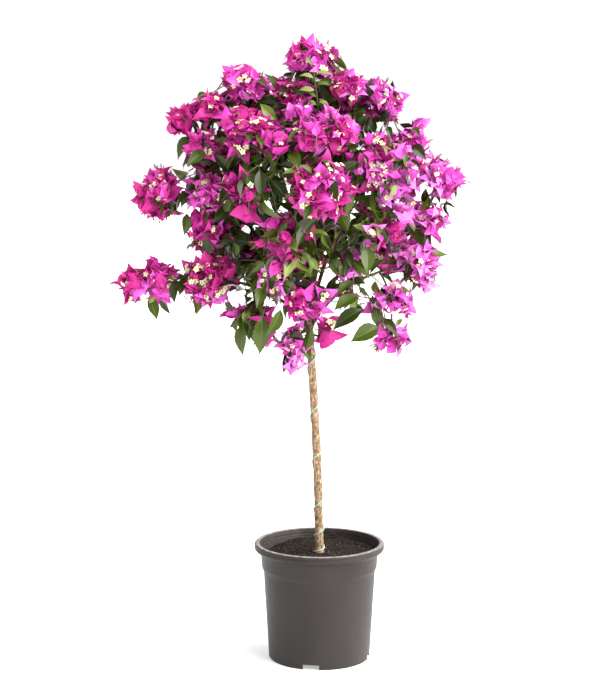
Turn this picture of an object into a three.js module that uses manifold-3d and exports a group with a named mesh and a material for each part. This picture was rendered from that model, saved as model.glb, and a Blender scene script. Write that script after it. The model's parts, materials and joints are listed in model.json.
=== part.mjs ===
// A bougainvillea standard in its nursery pot: a round flowering head on one clear stem.
// Millimetres, +Z up. The origin is the middle of the pot's flat underside, and the front faces -Y.
import * as THREE from "three";
import { mergeVertices } from "three/addons/utils/BufferGeometryUtils.js";
import Module from "manifold-3d";

const wasm = await Module();
wasm.setup();

// Pot: a moulded tub with a rolled rim, a collar, a raised floor and a notched skirt.
const POT_HEIGHT = 171.5;
const RIM_RADIUS = 95;
const RIM_LIP_WIDTH = 7;
const RIM_LEDGE_DROP = 9.7;
const RIM_LEDGE_ROUND = [0.8, 1.2];
const RIM_TOP_ROUND = [1.6, 1.4];
const RIM_INNER_ROUND = 0.5;
const COLLAR_TOP_DROP = 16;
const COLLAR_TOP_RADIUS = 86;
const COLLAR_FOOT_RADIUS = 84.5;
const COLLAR_FOOT_HEIGHT = 136;
const WALL_TOP_RADIUS = 81.8;
const WALL_TOP_HEIGHT = 129;
const BASE_RADIUS = 74.3;
const BASE_ROUND = [0.9, 1.2];
const SKIRT_DRAFT = [0.2, -0.3];
const WALL_THICKNESS = 1.9;
const FLOOR_UNDERSIDE = 8;
const FLOOR_TOP = 10;
const FOOT_DISC_RADIUS = 29;
const FOOT_DISC_SLOPE = 3;
const FOOT_DISC_TOP = 2;
const FOOT_DISC_WALL_INSET = 0.8;
const POT_SEGMENTS = 28;
const NOTCH_COUNT = 4;
const NOTCH_HEIGHT = 7.5;
const NOTCH_TOP_HALF_WIDTH = 7.2;
const NOTCH_FOOT_HALF_WIDTH = 9.6;
const NOTCH_CORNER = 1.2;
const NOTCH_CUT_DEPTH = 12;
const NOTCH_TURN_DEG = -100;
const DRAIN_COUNT = 6;
const DRAIN_RADIUS = 5;
const DRAIN_SIDES = 6;
const DRAIN_CIRCLE = 54;
const DRAIN_CUT_DEPTH = 6;

// Compost: fills the pot, with its surface lower by the wall at the left and heaped against it at the back.
const COMPOST_SURFACE = 155.5;
const COMPOST_DIP = 7.5;
const COMPOST_DIP_REACH = 46;
const COMPOST_DIP_AT = [-80, 14];
const COMPOST_BACK_RISE = 3.2;
const COMPOST_BACK_CURVE = 1.5;
const COMPOST_MOUND = 1.6;
const COMPOST_MOUND_REACH = 20;
const COMPOST_RIPPLE = 0.7;
const COMPOST_RIPPLE_LENGTHS = [9, 11];
const COMPOST_RINGS = [83, 58, 27, 0];

// Stem: one clear trunk, nearly straight, leaning a little to the left as it rises.
const STEM_FOOT_HEIGHT = 152;
const STEM_LINE_FOOT = 148;
const STEM_FORK_HEIGHT = 512;
const STEM_LEAN = [[-0.5, 0], [-1.6, 0], [-5.2, 1], [-10.6, 1], [-16.5, 2]];
const STEM_FOOT_RADIUS = 6.4;
const STEM_FORK_RADIUS = 5.6;
const ROOT_FLARE = 2.6;
const ROOT_FLARE_FADE = 7;
const STEM_SIDES = 10;
const STEM_STEPS = 12;
const STEM_FLARE_STATIONS = [0, 0.012, 0.022, 0.034, 0.05, 0.075, 0.11];

// Tie wire: wound round the stem. Each entry is a height and the turns made by then from the front.
const WIRE_RADIUS = 0.8;
const WIRE_TURNS = [[157, -0.25], [164, 0.25], [181, 0.75], [192, 1.25], [221, 1.75], [239, 2.25],
  [293, 2.75], [310, 3.25], [359, 3.75], [380, 4.25], [430, 4.75], [449, 5.25], [476, 5.6]];
const WIRE_SLACK = 0.5;
const WIRE_MASS_HEIGHT = 550;
const WIRE_STEPS_A_TURN = 11;
const WIRE_SIDES = 5;

// Head: gaps left between pieces, and the unevenness of each mass of leaves and bracts.
const GAP = 0.4;
const LOBES = 7;
const LOBE_RISE = 0.34;
const LOBE_SHARPNESS = 5;
const SEED_SHARES = { letters: 977, across: 31, depth: 7 };

// Each mass of foliage: its middle and its half sizes.
const MASSES = {
  top_spire: { at: [-10, 0, 873], half: [39, 34, 31] },
  top_left: { at: [-42, 6, 812], half: [38, 44, 38] },
  top_right: { at: [34, -4, 832], half: [34, 38, 30] },
  upper_left: { at: [-104, 6, 828], half: [40, 50, 39] },
  upper_left_edge: { at: [-148, 0, 802], half: [35, 42, 29] },
  spray_upper_left: { at: [-194, -6, 788], half: [24, 22, 21] },
  upper_right: { at: [84, 6, 810], half: [40, 46, 38] },
  shoulder_right: { at: [132, 4, 756], half: [29, 40, 29] },
  spray_right: { at: [176, -6, 704], half: [32, 28, 32] },
  right_middle: { at: [150, 0, 650], half: [40, 36, 32] },
  right_low: { at: [136, -4, 582], half: [38, 42, 39] },
  leaves_right: { at: [44, -44, 590], half: [34, 34, 28] },
  hanging_right: { at: [100, -14, 532], half: [37, 30, 28] },
  hanging_tip: { at: [100, -20, 482], half: [34, 24, 27] },
  spray_left: { at: [-229, -6, 684], half: [37, 33, 42] },
  left_upper: { at: [-158, -8, 744], half: [37, 44, 36] },
  left_middle: { at: [-150, -14, 686], half: [42, 48, 38] },
  left_lower: { at: [-152, -10, 628], half: [44, 46, 40] },
  left_low: { at: [-158, -16, 564], half: [50, 44, 38] },
  spray_low_left: { at: [-232, -6, 556], half: [26, 26, 38] },
  spray_low_left_tip: { at: [-269, -6, 552], half: [23, 22, 24] },
  hanging_left: { at: [-100, -18, 508], half: [43, 30, 45] },
  low_left: { at: [-76, -34, 566], half: [38, 42, 36] },
  low_front: { at: [-14, -38, 532], half: [36, 30, 37] },
  lowest: { at: [-37, -26, 459], half: [25, 20, 41] },
  stem_right: { at: [8, -25, 480], half: [19, 16, 25] },
  hanging_leaves: { at: [46, -28, 530], half: [32, 26, 34] },
  front_top: { at: [4, -86, 774], half: [60, 44, 44] },
  front_upper_left: { at: [-84, -86, 766], half: [50, 42, 44] },
  front_middle: { at: [2, -122, 694], half: [60, 42, 48] },
  front_left: { at: [-90, -98, 702], half: [52, 46, 44] },
  front_low: { at: [-38, -98, 622], half: [58, 42, 50] },
  front_right: { at: [84, -84, 728], half: [52, 46, 48] },
  front_low_right: { at: [84, -70, 646], half: [44, 44, 44] },
  back_top: { at: [16, 72, 806], half: [62, 46, 46] },
  back_upper_left: { at: [-88, 84, 768], half: [60, 52, 48] },
  back_right: { at: [106, 82, 724], half: [54, 54, 54] },
  back_middle: { at: [10, 136, 716], half: [62, 48, 54] },
  back_left: { at: [-118, 92, 676], half: [58, 52, 54] },
  back_low: { at: [-8, 112, 616], half: [60, 48, 52] },
  back_low_left: { at: [-104, 66, 584], half: [52, 54, 48] },
  back_low_right: { at: [88, 76, 606], half: [52, 54, 52] },
};

// Each bough: the mass it feeds, where it leaves the stem, and how high it climbs before it spreads.
const BOUGHS = {
  bough_top: { to: "top_spire", from: 510, climb: 0.5, radius: 4.4 },
  bough_upper_left: { to: "upper_left", from: 500, climb: 0.62, radius: 4.2 },
  bough_upper_right: { to: "upper_right", from: 504, climb: 0.6, radius: 4 },
  bough_left: { to: "left_middle", from: 490, climb: 0.7, radius: 3.8 },
  bough_right: { to: "right_middle", from: 494, climb: 0.62, radius: 3.6 },
  bough_front: { to: "front_middle", from: 506, climb: 0.66, radius: 3.6 },
  bough_back: { to: "back_middle", from: 498, climb: 0.64, radius: 3.8 },
  bough_low_left: { to: "left_low", from: 480, climb: 0.85, radius: 3.4 },
  bough_low_right: { to: "right_low", from: 484, climb: 0.8, radius: 3.4 },
  bough_back_left: { to: "back_left", from: 488, climb: 0.66, radius: 3.4 },
  bough_back_right: { to: "back_right", from: 492, climb: 0.66, radius: 3.4 },
};
const BOUGH_TIP_SHARE = 0.42;
const BOUGH_SPREAD = 0.22;
const BOUGH_SIDES = 6;
const BOUGH_STEPS = 5;

// Each stalk: the two masses that it joins across open air.
const STALKS = {
  stalk_left: { from: "left_middle", to: "spray_left" },
  stalk_low_left: { from: "left_low", to: "spray_low_left" },
  stalk_shoulder: { from: "back_right", to: "shoulder_right" },
};
const STALK_RADIUS = 1.6;
const STALK_SAG = 5;

// Openings right through the head, seen from eye height at the front: a middle and half sizes.
const EYE = new THREE.Vector3(-28, -2580, 807);
const OPENINGS = [
  { at: [-70, 668], half: [11, 8] },
  { at: [-94, 667], half: [6, 4] },
  { at: [-44, 713], half: [6, 8] },
  { at: [104, 766], half: [9, 13] },
];
const OPENING_SIDES = 8;
const OPENING_DEPTH = 230;

const DEG = Math.PI / 180;
const MERGE_DISTANCE = 1e-4;

const group = new THREE.Group();

function seeded(seed) {
  let state = seed;
  return () => {
    state = (state * 1664525 + 1013904223) % 4294967296;
    return state / 4294967296;
  };
}

// A closed geometry as a solid that can be cut.
function solidOf(geometry) {
  const bare = geometry.clone();
  bare.deleteAttribute("normal");
  bare.deleteAttribute("uv");
  const merged = mergeVertices(bare, MERGE_DISTANCE);
  const corners = merged.index.array;
  const kept = [];
  for (let i = 0; i < corners.length; i += 3) {
    const [a, b, c] = corners.slice(i, i + 3);
    if (a !== b && b !== c && c !== a) kept.push(a, b, c);
  }
  const mesh = new wasm.Mesh({
    numProp: 3,
    vertProperties: merged.attributes.position.array,
    triVerts: new Uint32Array(kept),
  });
  return new wasm.Manifold(mesh);
}

function geometryOf(solid) {
  const mesh = solid.getMesh();
  const geometry = new THREE.BufferGeometry();
  geometry.setAttribute("position", new THREE.BufferAttribute(mesh.vertProperties, 3));
  geometry.setIndex(new THREE.BufferAttribute(mesh.triVerts, 1));
  return geometry;
}

function addPiece(name, solid, material) {
  const piece = new THREE.Mesh(geometryOf(solid), material);
  piece.name = name;
  group.add(piece);
}

function largest(solid) {
  const bodies = solid.decompose();
  return bodies.reduce((best, body) => (body.volume() > best.volume() ? body : best));
}

// A turned solid: the profile is a list of radius and height, from the axis round to the axis.
function turned(profile, segments) {
  const points = profile.map(([radius, height]) => new THREE.Vector2(radius, height));
  return new THREE.LatheGeometry(points, segments).rotateX(90 * DEG);
}

// A limb with round rings at stations along a curve, and a flat cap at each end.
function limb(curve, radiusAt, sides, stations) {
  const places = [];
  const faces = [];
  const side = new THREE.Vector3(1, 0, 0);
  for (const station of stations) {
    const middle = curve.getPointAt(station);
    const along = curve.getTangentAt(station);
    side.addScaledVector(along, -side.dot(along)).normalize();
    const across = along.clone().cross(side);
    const radius = radiusAt(station);
    for (let j = 0; j < sides; j += 1) {
      const turn = (2 * Math.PI * j) / sides;
      const place = middle
        .clone()
        .addScaledVector(side, radius * Math.cos(turn))
        .addScaledVector(across, radius * Math.sin(turn));
      places.push(...place.toArray());
    }
  }
  const lastRing = (stations.length - 1) * sides;
  for (let j = 0; j < sides; j += 1) {
    const next = (j + 1) % sides;
    for (let ring = 0; ring < lastRing; ring += sides) {
      faces.push(ring + j, ring + next, ring + sides + j);
      faces.push(ring + next, ring + sides + next, ring + sides + j);
    }
    if (j > 0 && next > 0) {
      faces.push(0, next, j);
      faces.push(lastRing, lastRing + j, lastRing + next);
    }
  }
  const geometry = new THREE.BufferGeometry();
  geometry.setAttribute("position", new THREE.BufferAttribute(new Float32Array(places), 3));
  geometry.setIndex(faces);
  return solidOf(geometry);
}

function evenStations(steps) {
  return Array.from({ length: steps + 1 }, (_, i) => i / steps);
}

// The inner face of the pot's wall at a height, above the floor and below the collar's top.
function innerWallRadius(height) {
  const lean = (WALL_TOP_RADIUS - BASE_RADIUS) / WALL_TOP_HEIGHT;
  const wall = BASE_RADIUS + lean * Math.min(height, WALL_TOP_HEIGHT);
  const step = THREE.MathUtils.smoothstep(height, WALL_TOP_HEIGHT, COLLAR_FOOT_HEIGHT);
  return wall + step * (COLLAR_FOOT_RADIUS - WALL_TOP_RADIUS) - WALL_THICKNESS;
}

function makePot() {
  const lipTop = POT_HEIGHT;
  const lipInner = RIM_RADIUS - RIM_LIP_WIDTH;
  const collarTop = lipTop - COLLAR_TOP_DROP;
  const ledge = lipTop - RIM_LEDGE_DROP;
  const discEdge = FOOT_DISC_RADIUS + FOOT_DISC_SLOPE;
  const skirtInner = BASE_RADIUS - WALL_THICKNESS;
  const profile = [
    [0, 0],
    [FOOT_DISC_RADIUS, 0],
    [discEdge, FLOOR_UNDERSIDE],
    [skirtInner + SKIRT_DRAFT[0], FLOOR_UNDERSIDE],
    [skirtInner + SKIRT_DRAFT[1], 0],
    [BASE_RADIUS - BASE_ROUND[0], 0],
    [BASE_RADIUS, BASE_ROUND[1]],
    [WALL_TOP_RADIUS, WALL_TOP_HEIGHT],
    [COLLAR_FOOT_RADIUS, COLLAR_FOOT_HEIGHT],
    [COLLAR_TOP_RADIUS, collarTop],
    [RIM_RADIUS - RIM_LEDGE_ROUND[0], ledge],
    [RIM_RADIUS, ledge + RIM_LEDGE_ROUND[1]],
    [RIM_RADIUS, lipTop - RIM_TOP_ROUND[1]],
    [RIM_RADIUS - RIM_TOP_ROUND[0], lipTop],
    [lipInner + RIM_INNER_ROUND, lipTop],
    [COLLAR_TOP_RADIUS - WALL_THICKNESS, collarTop],
    [COLLAR_FOOT_RADIUS - WALL_THICKNESS, COLLAR_FOOT_HEIGHT],
    [WALL_TOP_RADIUS - WALL_THICKNESS, WALL_TOP_HEIGHT],
    [innerWallRadius(FLOOR_TOP), FLOOR_TOP],
    [discEdge - FOOT_DISC_WALL_INSET, FLOOR_TOP],
    [FOOT_DISC_RADIUS - FOOT_DISC_WALL_INSET, FOOT_DISC_TOP],
    [0, FOOT_DISC_TOP],
  ];
  let pot = solidOf(turned(profile, POT_SEGMENTS));

  const outline = new THREE.Shape([
    new THREE.Vector2(-NOTCH_FOOT_HALF_WIDTH, -1),
    new THREE.Vector2(NOTCH_FOOT_HALF_WIDTH, -1),
    new THREE.Vector2(NOTCH_TOP_HALF_WIDTH, NOTCH_HEIGHT - NOTCH_CORNER),
    new THREE.Vector2(NOTCH_TOP_HALF_WIDTH - NOTCH_CORNER, NOTCH_HEIGHT),
    new THREE.Vector2(NOTCH_CORNER - NOTCH_TOP_HALF_WIDTH, NOTCH_HEIGHT),
    new THREE.Vector2(-NOTCH_TOP_HALF_WIDTH, NOTCH_HEIGHT - NOTCH_CORNER),
  ]);
  for (let i = 0; i < NOTCH_COUNT; i += 1) {
    const notch = new THREE.ExtrudeGeometry(outline, { depth: NOTCH_CUT_DEPTH, bevelEnabled: false });
    notch.rotateX(90 * DEG);
    notch.rotateZ(90 * DEG);
    notch.translate(BASE_RADIUS - NOTCH_CUT_DEPTH / 2, 0, 0);
    notch.rotateZ(NOTCH_TURN_DEG * DEG + (2 * Math.PI * i) / NOTCH_COUNT);
    pot = pot.subtract(solidOf(notch));
  }

  for (let i = 0; i < DRAIN_COUNT; i += 1) {
    const drain = new THREE.CylinderGeometry(DRAIN_RADIUS, DRAIN_RADIUS, DRAIN_CUT_DEPTH, DRAIN_SIDES);
    drain.rotateX(90 * DEG);
    drain.translate(DRAIN_CIRCLE, 0, FLOOR_UNDERSIDE + 1);
    drain.rotateZ((2 * Math.PI * (i + 0.5)) / DRAIN_COUNT);
    pot = pot.subtract(solidOf(drain));
  }
  return pot;
}

const stemCurve = new THREE.CatmullRomCurve3(
  STEM_LEAN.map(([x, y], i) => {
    const share = i / (STEM_LEAN.length - 1);
    return new THREE.Vector3(x, y, THREE.MathUtils.lerp(STEM_LINE_FOOT, STEM_FORK_HEIGHT, share));
  }),
);

function stemRadius(height) {
  const climbed = (height - STEM_FOOT_HEIGHT) / (STEM_FORK_HEIGHT - STEM_FOOT_HEIGHT);
  const flare = ROOT_FLARE * Math.exp(-Math.max(0, height - STEM_FOOT_HEIGHT) / ROOT_FLARE_FADE);
  return THREE.MathUtils.lerp(STEM_FOOT_RADIUS, STEM_FORK_RADIUS, climbed) + flare;
}

// The stem's axis at a height.
function stemAt(height) {
  const share = (height - STEM_LINE_FOOT) / (STEM_FORK_HEIGHT - STEM_LINE_FOOT);
  return stemCurve.getPointAt(THREE.MathUtils.clamp(share, 0, 1));
}

function makeStem(clearance) {
  const radiusAt = (share) => stemRadius(stemCurve.getPointAt(share).z) + clearance;
  const above = evenStations(STEM_STEPS).filter((share) => share > STEM_FLARE_STATIONS.at(-1) + 0.01);
  const stem = limb(stemCurve, radiusAt, STEM_SIDES, [...STEM_FLARE_STATIONS, ...above]);
  const topped = stem.add(stem.translate([0, 0, clearance]));
  return (clearance > 0 ? topped : stem).trimByPlane([0, 0, 1], STEM_FOOT_HEIGHT - clearance);
}

function makeCompost() {
  const floor = FLOOR_TOP + GAP;
  const surface = COMPOST_SURFACE;
  const discEdge = FOOT_DISC_RADIUS + FOOT_DISC_SLOPE - FOOT_DISC_WALL_INSET - GAP;
  const profile = [
    [0, FOOT_DISC_TOP + GAP],
    [discEdge - FOOT_DISC_SLOPE, FOOT_DISC_TOP + GAP],
    [discEdge, floor],
    [innerWallRadius(floor) - GAP, floor],
    [innerWallRadius(WALL_TOP_HEIGHT) - GAP, WALL_TOP_HEIGHT],
    [COLLAR_FOOT_RADIUS - WALL_THICKNESS - GAP, COLLAR_FOOT_HEIGHT + GAP],
    ...COMPOST_RINGS.map((radius) => [radius, surface]),
  ];
  const body = turned(profile, POT_SEGMENTS);
  const places = body.getAttribute("position");
  for (let i = 0; i < places.count; i += 1) {
    const x = places.getX(i);
    const y = places.getY(i);
    if (places.getZ(i) < surface - 1) continue;
    const away = Math.hypot(x - COMPOST_DIP_AT[0], y - COMPOST_DIP_AT[1]) / COMPOST_DIP_REACH;
    const dip = COMPOST_DIP * Math.exp(-away * away);
    const mound = COMPOST_MOUND * Math.exp(-Math.hypot(x, y) / COMPOST_MOUND_REACH);
    const heap = COMPOST_BACK_RISE * Math.max(0, y / COMPOST_RINGS[0]) ** COMPOST_BACK_CURVE;
    const [wide, deep] = COMPOST_RIPPLE_LENGTHS;
    const ripple = COMPOST_RIPPLE * Math.sin(x / wide) * Math.cos(y / deep);
    places.setZ(i, surface - dip + mound + heap + ripple);
  }
  return solidOf(body).subtract(makeStem(GAP));
}

// The wire's middle line: a coil that lies on the stem and follows its lean.
class WireLine extends THREE.Curve {
  climb = new THREE.SplineCurve(WIRE_TURNS.map(([height, turns]) => new THREE.Vector2(turns, height)));

  getPoint(share, target = new THREE.Vector3()) {
    const { x: turns, y: height } = this.climb.getPoint(share);
    const reach = stemRadius(height) + GAP + WIRE_SLACK + WIRE_RADIUS;
    const turn = 2 * Math.PI * turns;
    const middle = stemAt(height);
    return target.set(middle.x + reach * Math.sin(turn), middle.y - reach * Math.cos(turn), height);
  }
}

function makeWire() {
  const turns = WIRE_TURNS.at(-1)[1] - WIRE_TURNS[0][1];
  const steps = Math.round(turns * WIRE_STEPS_A_TURN);
  return limb(new WireLine(), () => WIRE_RADIUS, WIRE_SIDES, evenStations(steps));
}

// A closed, uneven ball that fills its half sizes, made larger all round by a clearance.
function makeClump(name, clearance) {
  const { at, half } = MASSES[name];
  const { letters, across: sideways, depth } = SEED_SHARES;
  const seed = name.length * letters + Math.abs(at[0]) * sideways + Math.abs(at[1]) * depth + at[2];
  const random = seeded(seed);
  const lobes = Array.from({ length: LOBES }, () => {
    const across = 2 * Math.PI * random();
    const up = 2 * random() - 1;
    const out = Math.sqrt(1 - up * up);
    return new THREE.Vector3(out * Math.cos(across), out * Math.sin(across), up);
  });
  const ball = new THREE.IcosahedronGeometry(1, 1);
  const places = ball.getAttribute("position");
  const place = new THREE.Vector3();
  for (let i = 0; i < places.count; i += 1) {
    place.fromBufferAttribute(places, i).normalize();
    let reach = 1;
    for (const lobe of lobes) reach += LOBE_RISE * Math.max(0, place.dot(lobe)) ** LOBE_SHARPNESS;
    places.setXYZ(i, ...place.multiplyScalar(reach).toArray());
  }
  ball.computeBoundingBox();
  const middle = ball.boundingBox.getCenter(new THREE.Vector3());
  const size = ball.boundingBox.getSize(new THREE.Vector3());
  ball.translate(-middle.x, -middle.y, -middle.z);
  ball.scale(...half.map((reach, axis) => (2 * (reach + clearance)) / size.getComponent(axis)));
  ball.translate(...at);
  return solidOf(ball);
}

// One opening: a long prism along the line of sight, with an eight-sided outline.
function makeOpening({ at, half }) {
  const through = new THREE.Vector3(at[0], 0, at[1]);
  const sight = through.clone().sub(EYE).normalize();
  const outline = new THREE.Shape();
  for (let i = 0; i < OPENING_SIDES; i += 1) {
    const turn = (2 * Math.PI * i) / OPENING_SIDES;
    const corner = new THREE.Vector2(half[0] * Math.cos(turn), half[1] * Math.sin(turn));
    if (i === 0) outline.moveTo(corner.x, corner.y);
    else outline.lineTo(corner.x, corner.y);
  }
  const prism = new THREE.ExtrudeGeometry(outline, { depth: 2 * OPENING_DEPTH, bevelEnabled: false });
  prism.translate(0, 0, -OPENING_DEPTH);
  const across = new THREE.Vector3(0, 0, 1).cross(sight).normalize();
  const up = sight.clone().cross(across);
  prism.applyMatrix4(new THREE.Matrix4().makeBasis(across.negate(), up, sight.clone().negate()));
  prism.translate(...through.toArray());
  return solidOf(prism);
}

// The middle of a solid's extent along one direction, from the origin.
function middleAlong(solid, way) {
  const places = solid.getMesh().vertProperties;
  let nearest = Infinity;
  let furthest = -Infinity;
  for (let i = 0; i < places.length; i += 3) {
    const reach = places[i] * way.x + places[i + 1] * way.y + places[i + 2] * way.z;
    nearest = Math.min(nearest, reach);
    furthest = Math.max(furthest, reach);
  }
  return (nearest + furthest) / 2;
}

// The masses, parted by flat planes where they meet, and cut round the stem and the openings.
function makeMasses() {
  const names = Object.keys(MASSES);
  const whole = new Map(names.map((name) => [name, makeClump(name, 0)]));
  const openings = wasm.Manifold.union(OPENINGS.map(makeOpening));
  const stem = makeStem(GAP);
  const sleeve = makeStem(GAP + WIRE_SLACK + 2 * WIRE_RADIUS + GAP);
  const parted = new Map();
  for (const name of names) {
    let mass = whole.get(name);
    const here = new THREE.Vector3(...MASSES[name].at);
    for (const other of names) {
      const shared = whole.get(name).intersect(whole.get(other));
      if (other === name || shared.isEmpty()) continue;
      const way = new THREE.Vector3(...MASSES[other].at).sub(here).normalize();
      mass = mass.trimByPlane(way.clone().negate().toArray(), GAP / 2 - middleAlong(shared, way));
    }
    mass = mass.subtract(openings).subtract(here.z < WIRE_MASS_HEIGHT ? sleeve : stem);
    parted.set(name, largest(mass));
  }
  return parted;
}

// A bough from the stem towards its mass, or a stalk between two masses.
function boughCurve({ to, from, climb }) {
  const start = stemAt(from);
  const end = new THREE.Vector3(...MASSES[to].at);
  const bend = start.clone().lerp(end, BOUGH_SPREAD);
  bend.z = THREE.MathUtils.lerp(start.z, end.z, climb);
  return new THREE.QuadraticBezierCurve3(start, bend, end);
}

function stalkCurve({ from, to }) {
  const start = new THREE.Vector3(...MASSES[from].at);
  const end = new THREE.Vector3(...MASSES[to].at);
  const bend = start.clone().lerp(end, 0.5);
  bend.z -= STALK_SAG;
  return new THREE.QuadraticBezierCurve3(start, bend, end);
}

// The part of a cut limb that holds a place, or lies nearest to it.
function partAt(solid, place) {
  const gapTo = (body) => {
    const { min, max } = body.boundingBox();
    return new THREE.Box3(new THREE.Vector3(...min), new THREE.Vector3(...max)).distanceToPoint(place);
  };
  return solid.decompose().reduce((best, body) => (gapTo(body) < gapTo(best) ? body : best));
}

function makeLimbs(addLimb) {
  const filled = wasm.Manifold.union(Object.keys(MASSES).map((name) => makeClump(name, GAP)));
  let taken = makeStem(GAP).add(filled);
  const stations = evenStations(BOUGH_STEPS);
  for (const [name, bough] of Object.entries(BOUGHS)) {
    const curve = boughCurve(bough);
    const radiusAt = (clearance) => (share) => {
      return THREE.MathUtils.lerp(bough.radius, bough.radius * BOUGH_TIP_SHARE, share) + clearance;
    };
    const cut = limb(curve, radiusAt(0), BOUGH_SIDES, stations).subtract(taken);
    addLimb(name, partAt(cut, curve.getPointAt(0)));
    taken = taken.add(limb(curve, radiusAt(GAP), BOUGH_SIDES, stations));
  }
  for (const [name, stalk] of Object.entries(STALKS)) {
    const curve = stalkCurve(stalk);
    const cut = limb(curve, () => STALK_RADIUS, BOUGH_SIDES, stations).subtract(taken);
    addLimb(name, largest(cut));
  }
}

const plastic = new THREE.MeshStandardMaterial({ color: 0x54504c, roughness: 0.6, metalness: 0 });
const compost = new THREE.MeshStandardMaterial({ color: 0x2d211c, roughness: 0.95, metalness: 0 });
const bark = new THREE.MeshStandardMaterial({ color: 0xb88c62, roughness: 0.85, metalness: 0 });
const youngBark = new THREE.MeshStandardMaterial({ color: 0x5a4a2c, roughness: 0.8, metalness: 0 });
const wire = new THREE.MeshStandardMaterial({ color: 0xa8d8bc, roughness: 0.5, metalness: 0 });
const bracts = new THREE.MeshStandardMaterial({ color: 0xcd1ea5, roughness: 0.75, metalness: 0 });
const leaves = new THREE.MeshStandardMaterial({ color: 0x3f5f22, roughness: 0.6, metalness: 0 });
const LEAFY = ["hanging_leaves", "hanging_left", "front_left", "low_left", "leaves_right"];

addPiece("pot", makePot(), plastic);
addPiece("compost", makeCompost(), compost);
addPiece("stem", makeStem(0), bark);
addPiece("tie_wire", makeWire(), wire);
makeLimbs((name, solid) => addPiece(name, solid, youngBark));
for (const [name, solid] of makeMasses()) addPiece(name, solid, LEAFY.includes(name) ? leaves : bracts);

export default group;
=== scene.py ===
import json
import math

import bpy
import numpy as np
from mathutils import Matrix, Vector, noise
from mathutils.bvhtree import BVHTree


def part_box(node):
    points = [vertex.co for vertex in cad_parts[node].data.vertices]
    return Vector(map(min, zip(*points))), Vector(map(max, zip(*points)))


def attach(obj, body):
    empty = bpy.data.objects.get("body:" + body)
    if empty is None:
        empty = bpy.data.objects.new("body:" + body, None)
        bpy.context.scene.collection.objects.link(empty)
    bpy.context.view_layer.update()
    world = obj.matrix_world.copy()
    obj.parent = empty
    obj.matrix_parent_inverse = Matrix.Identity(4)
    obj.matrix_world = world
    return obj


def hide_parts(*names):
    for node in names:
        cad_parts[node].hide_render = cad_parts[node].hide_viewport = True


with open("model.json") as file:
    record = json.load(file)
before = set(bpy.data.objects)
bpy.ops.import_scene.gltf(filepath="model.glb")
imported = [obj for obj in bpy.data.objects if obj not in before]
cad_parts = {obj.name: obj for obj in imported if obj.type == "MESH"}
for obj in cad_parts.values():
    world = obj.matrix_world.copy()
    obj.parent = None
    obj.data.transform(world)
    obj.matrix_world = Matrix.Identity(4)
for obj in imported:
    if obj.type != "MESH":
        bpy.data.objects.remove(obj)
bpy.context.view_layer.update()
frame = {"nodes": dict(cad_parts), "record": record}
bpy.ops.object.select_all(action="DESELECT")

# The room round the plant: a camera in front, level with the crown and looking a little down, a wide white
# floor that glows faintly, walls that are dim to the left and bright to the right, and one big soft lamp.
EYE = Vector((-0.0284, -2.58, 0.807))
LOOK_DOWN = math.radians(7.48)
LENS = 94.77
SIGHT = 60
FLOOR_RADIUS = 16
FLOOR_WHITE = (0.82, 0.82, 0.82)
FLOOR_GLOW = 0.42
WALL_GREYS = [(0, 0.52), (0.026, 0.52), (0.034, 0.225), (0.34, 0.265), (0.40, 0.52), (0.58, 0.53), (0.70, 1)]
BRIGHT_WALL = (0.99, 0.99, 1)
CEILING = [(0.35, (1, 1, 1)), (0.8, (0.9, 0.9, 0.91))]
WALL_STRENGTH = 2.0
LAMP_TILT = math.radians(52)
LAMP_TURN = math.radians(72)
LAMP_SPREAD = math.radians(70)
LAMP_STRENGTH = 5.6


def new_material(name, **settings):
    """A material whose shader has these settings, and the nodes and links to go on with."""
    material = bpy.data.materials.new(name)
    material.use_nodes = True
    shader = material.node_tree.nodes["Principled BSDF"]
    for setting, value in settings.items():
        socket = shader.inputs[setting.replace("_", " ")]
        socket.default_value = (*value, 1) if isinstance(value, tuple) else value
    return material, material.node_tree.nodes, material.node_tree.links, shader


def plain_material(name, colour, roughness, **settings):
    """One even colour, for a floor, or for shapes so small and so many that a pattern can't be seen."""
    return new_material(name, Base_Color=colour, Roughness=roughness, **settings)[0]


def add_ramp(nodes, links, source, stops):
    """Colours by a value, as (position, (r, g, b)) stops."""
    ramp = nodes.new("ShaderNodeValToRGB")
    ramp.color_ramp.elements[1].position = stops[-1][0]
    for position, _ in stops[1:-1]:
        ramp.color_ramp.elements.new(position)
    for element, (position, colour) in zip(ramp.color_ramp.elements, stops):
        element.position = position
        element.color = (*colour, 1)
    links.new(source, ramp.inputs[0])
    return ramp.outputs[0]


def add_range(nodes, links, source, **settings):
    """A value stretched or squeezed into another range."""
    stretch = nodes.new("ShaderNodeMapRange")
    for setting, value in settings.items():
        stretch.inputs[setting.replace("_", " ")].default_value = value
    links.new(source, stretch.inputs["Value"])
    return stretch.outputs[0]


bpy.ops.object.camera_add(location=EYE, rotation=(math.radians(90) - LOOK_DOWN, 0, 0))
camera = bpy.context.object
camera.data.lens = LENS
camera.data.clip_end = SIGHT
bpy.context.scene.camera = camera
bpy.context.scene.view_settings.view_transform = "Standard"

bpy.ops.mesh.primitive_circle_add(vertices=128, radius=FLOOR_RADIUS, fill_type="NGON")
floor = bpy.context.object
floor.name = "studio_floor"
floor.data.materials.append(plain_material("floor_paint", FLOOR_WHITE, 0.9, Specular_IOR_Level=0.1,
                                           Emission_Color=(1, 1, 1), Emission_Strength=FLOOR_GLOW))

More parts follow.
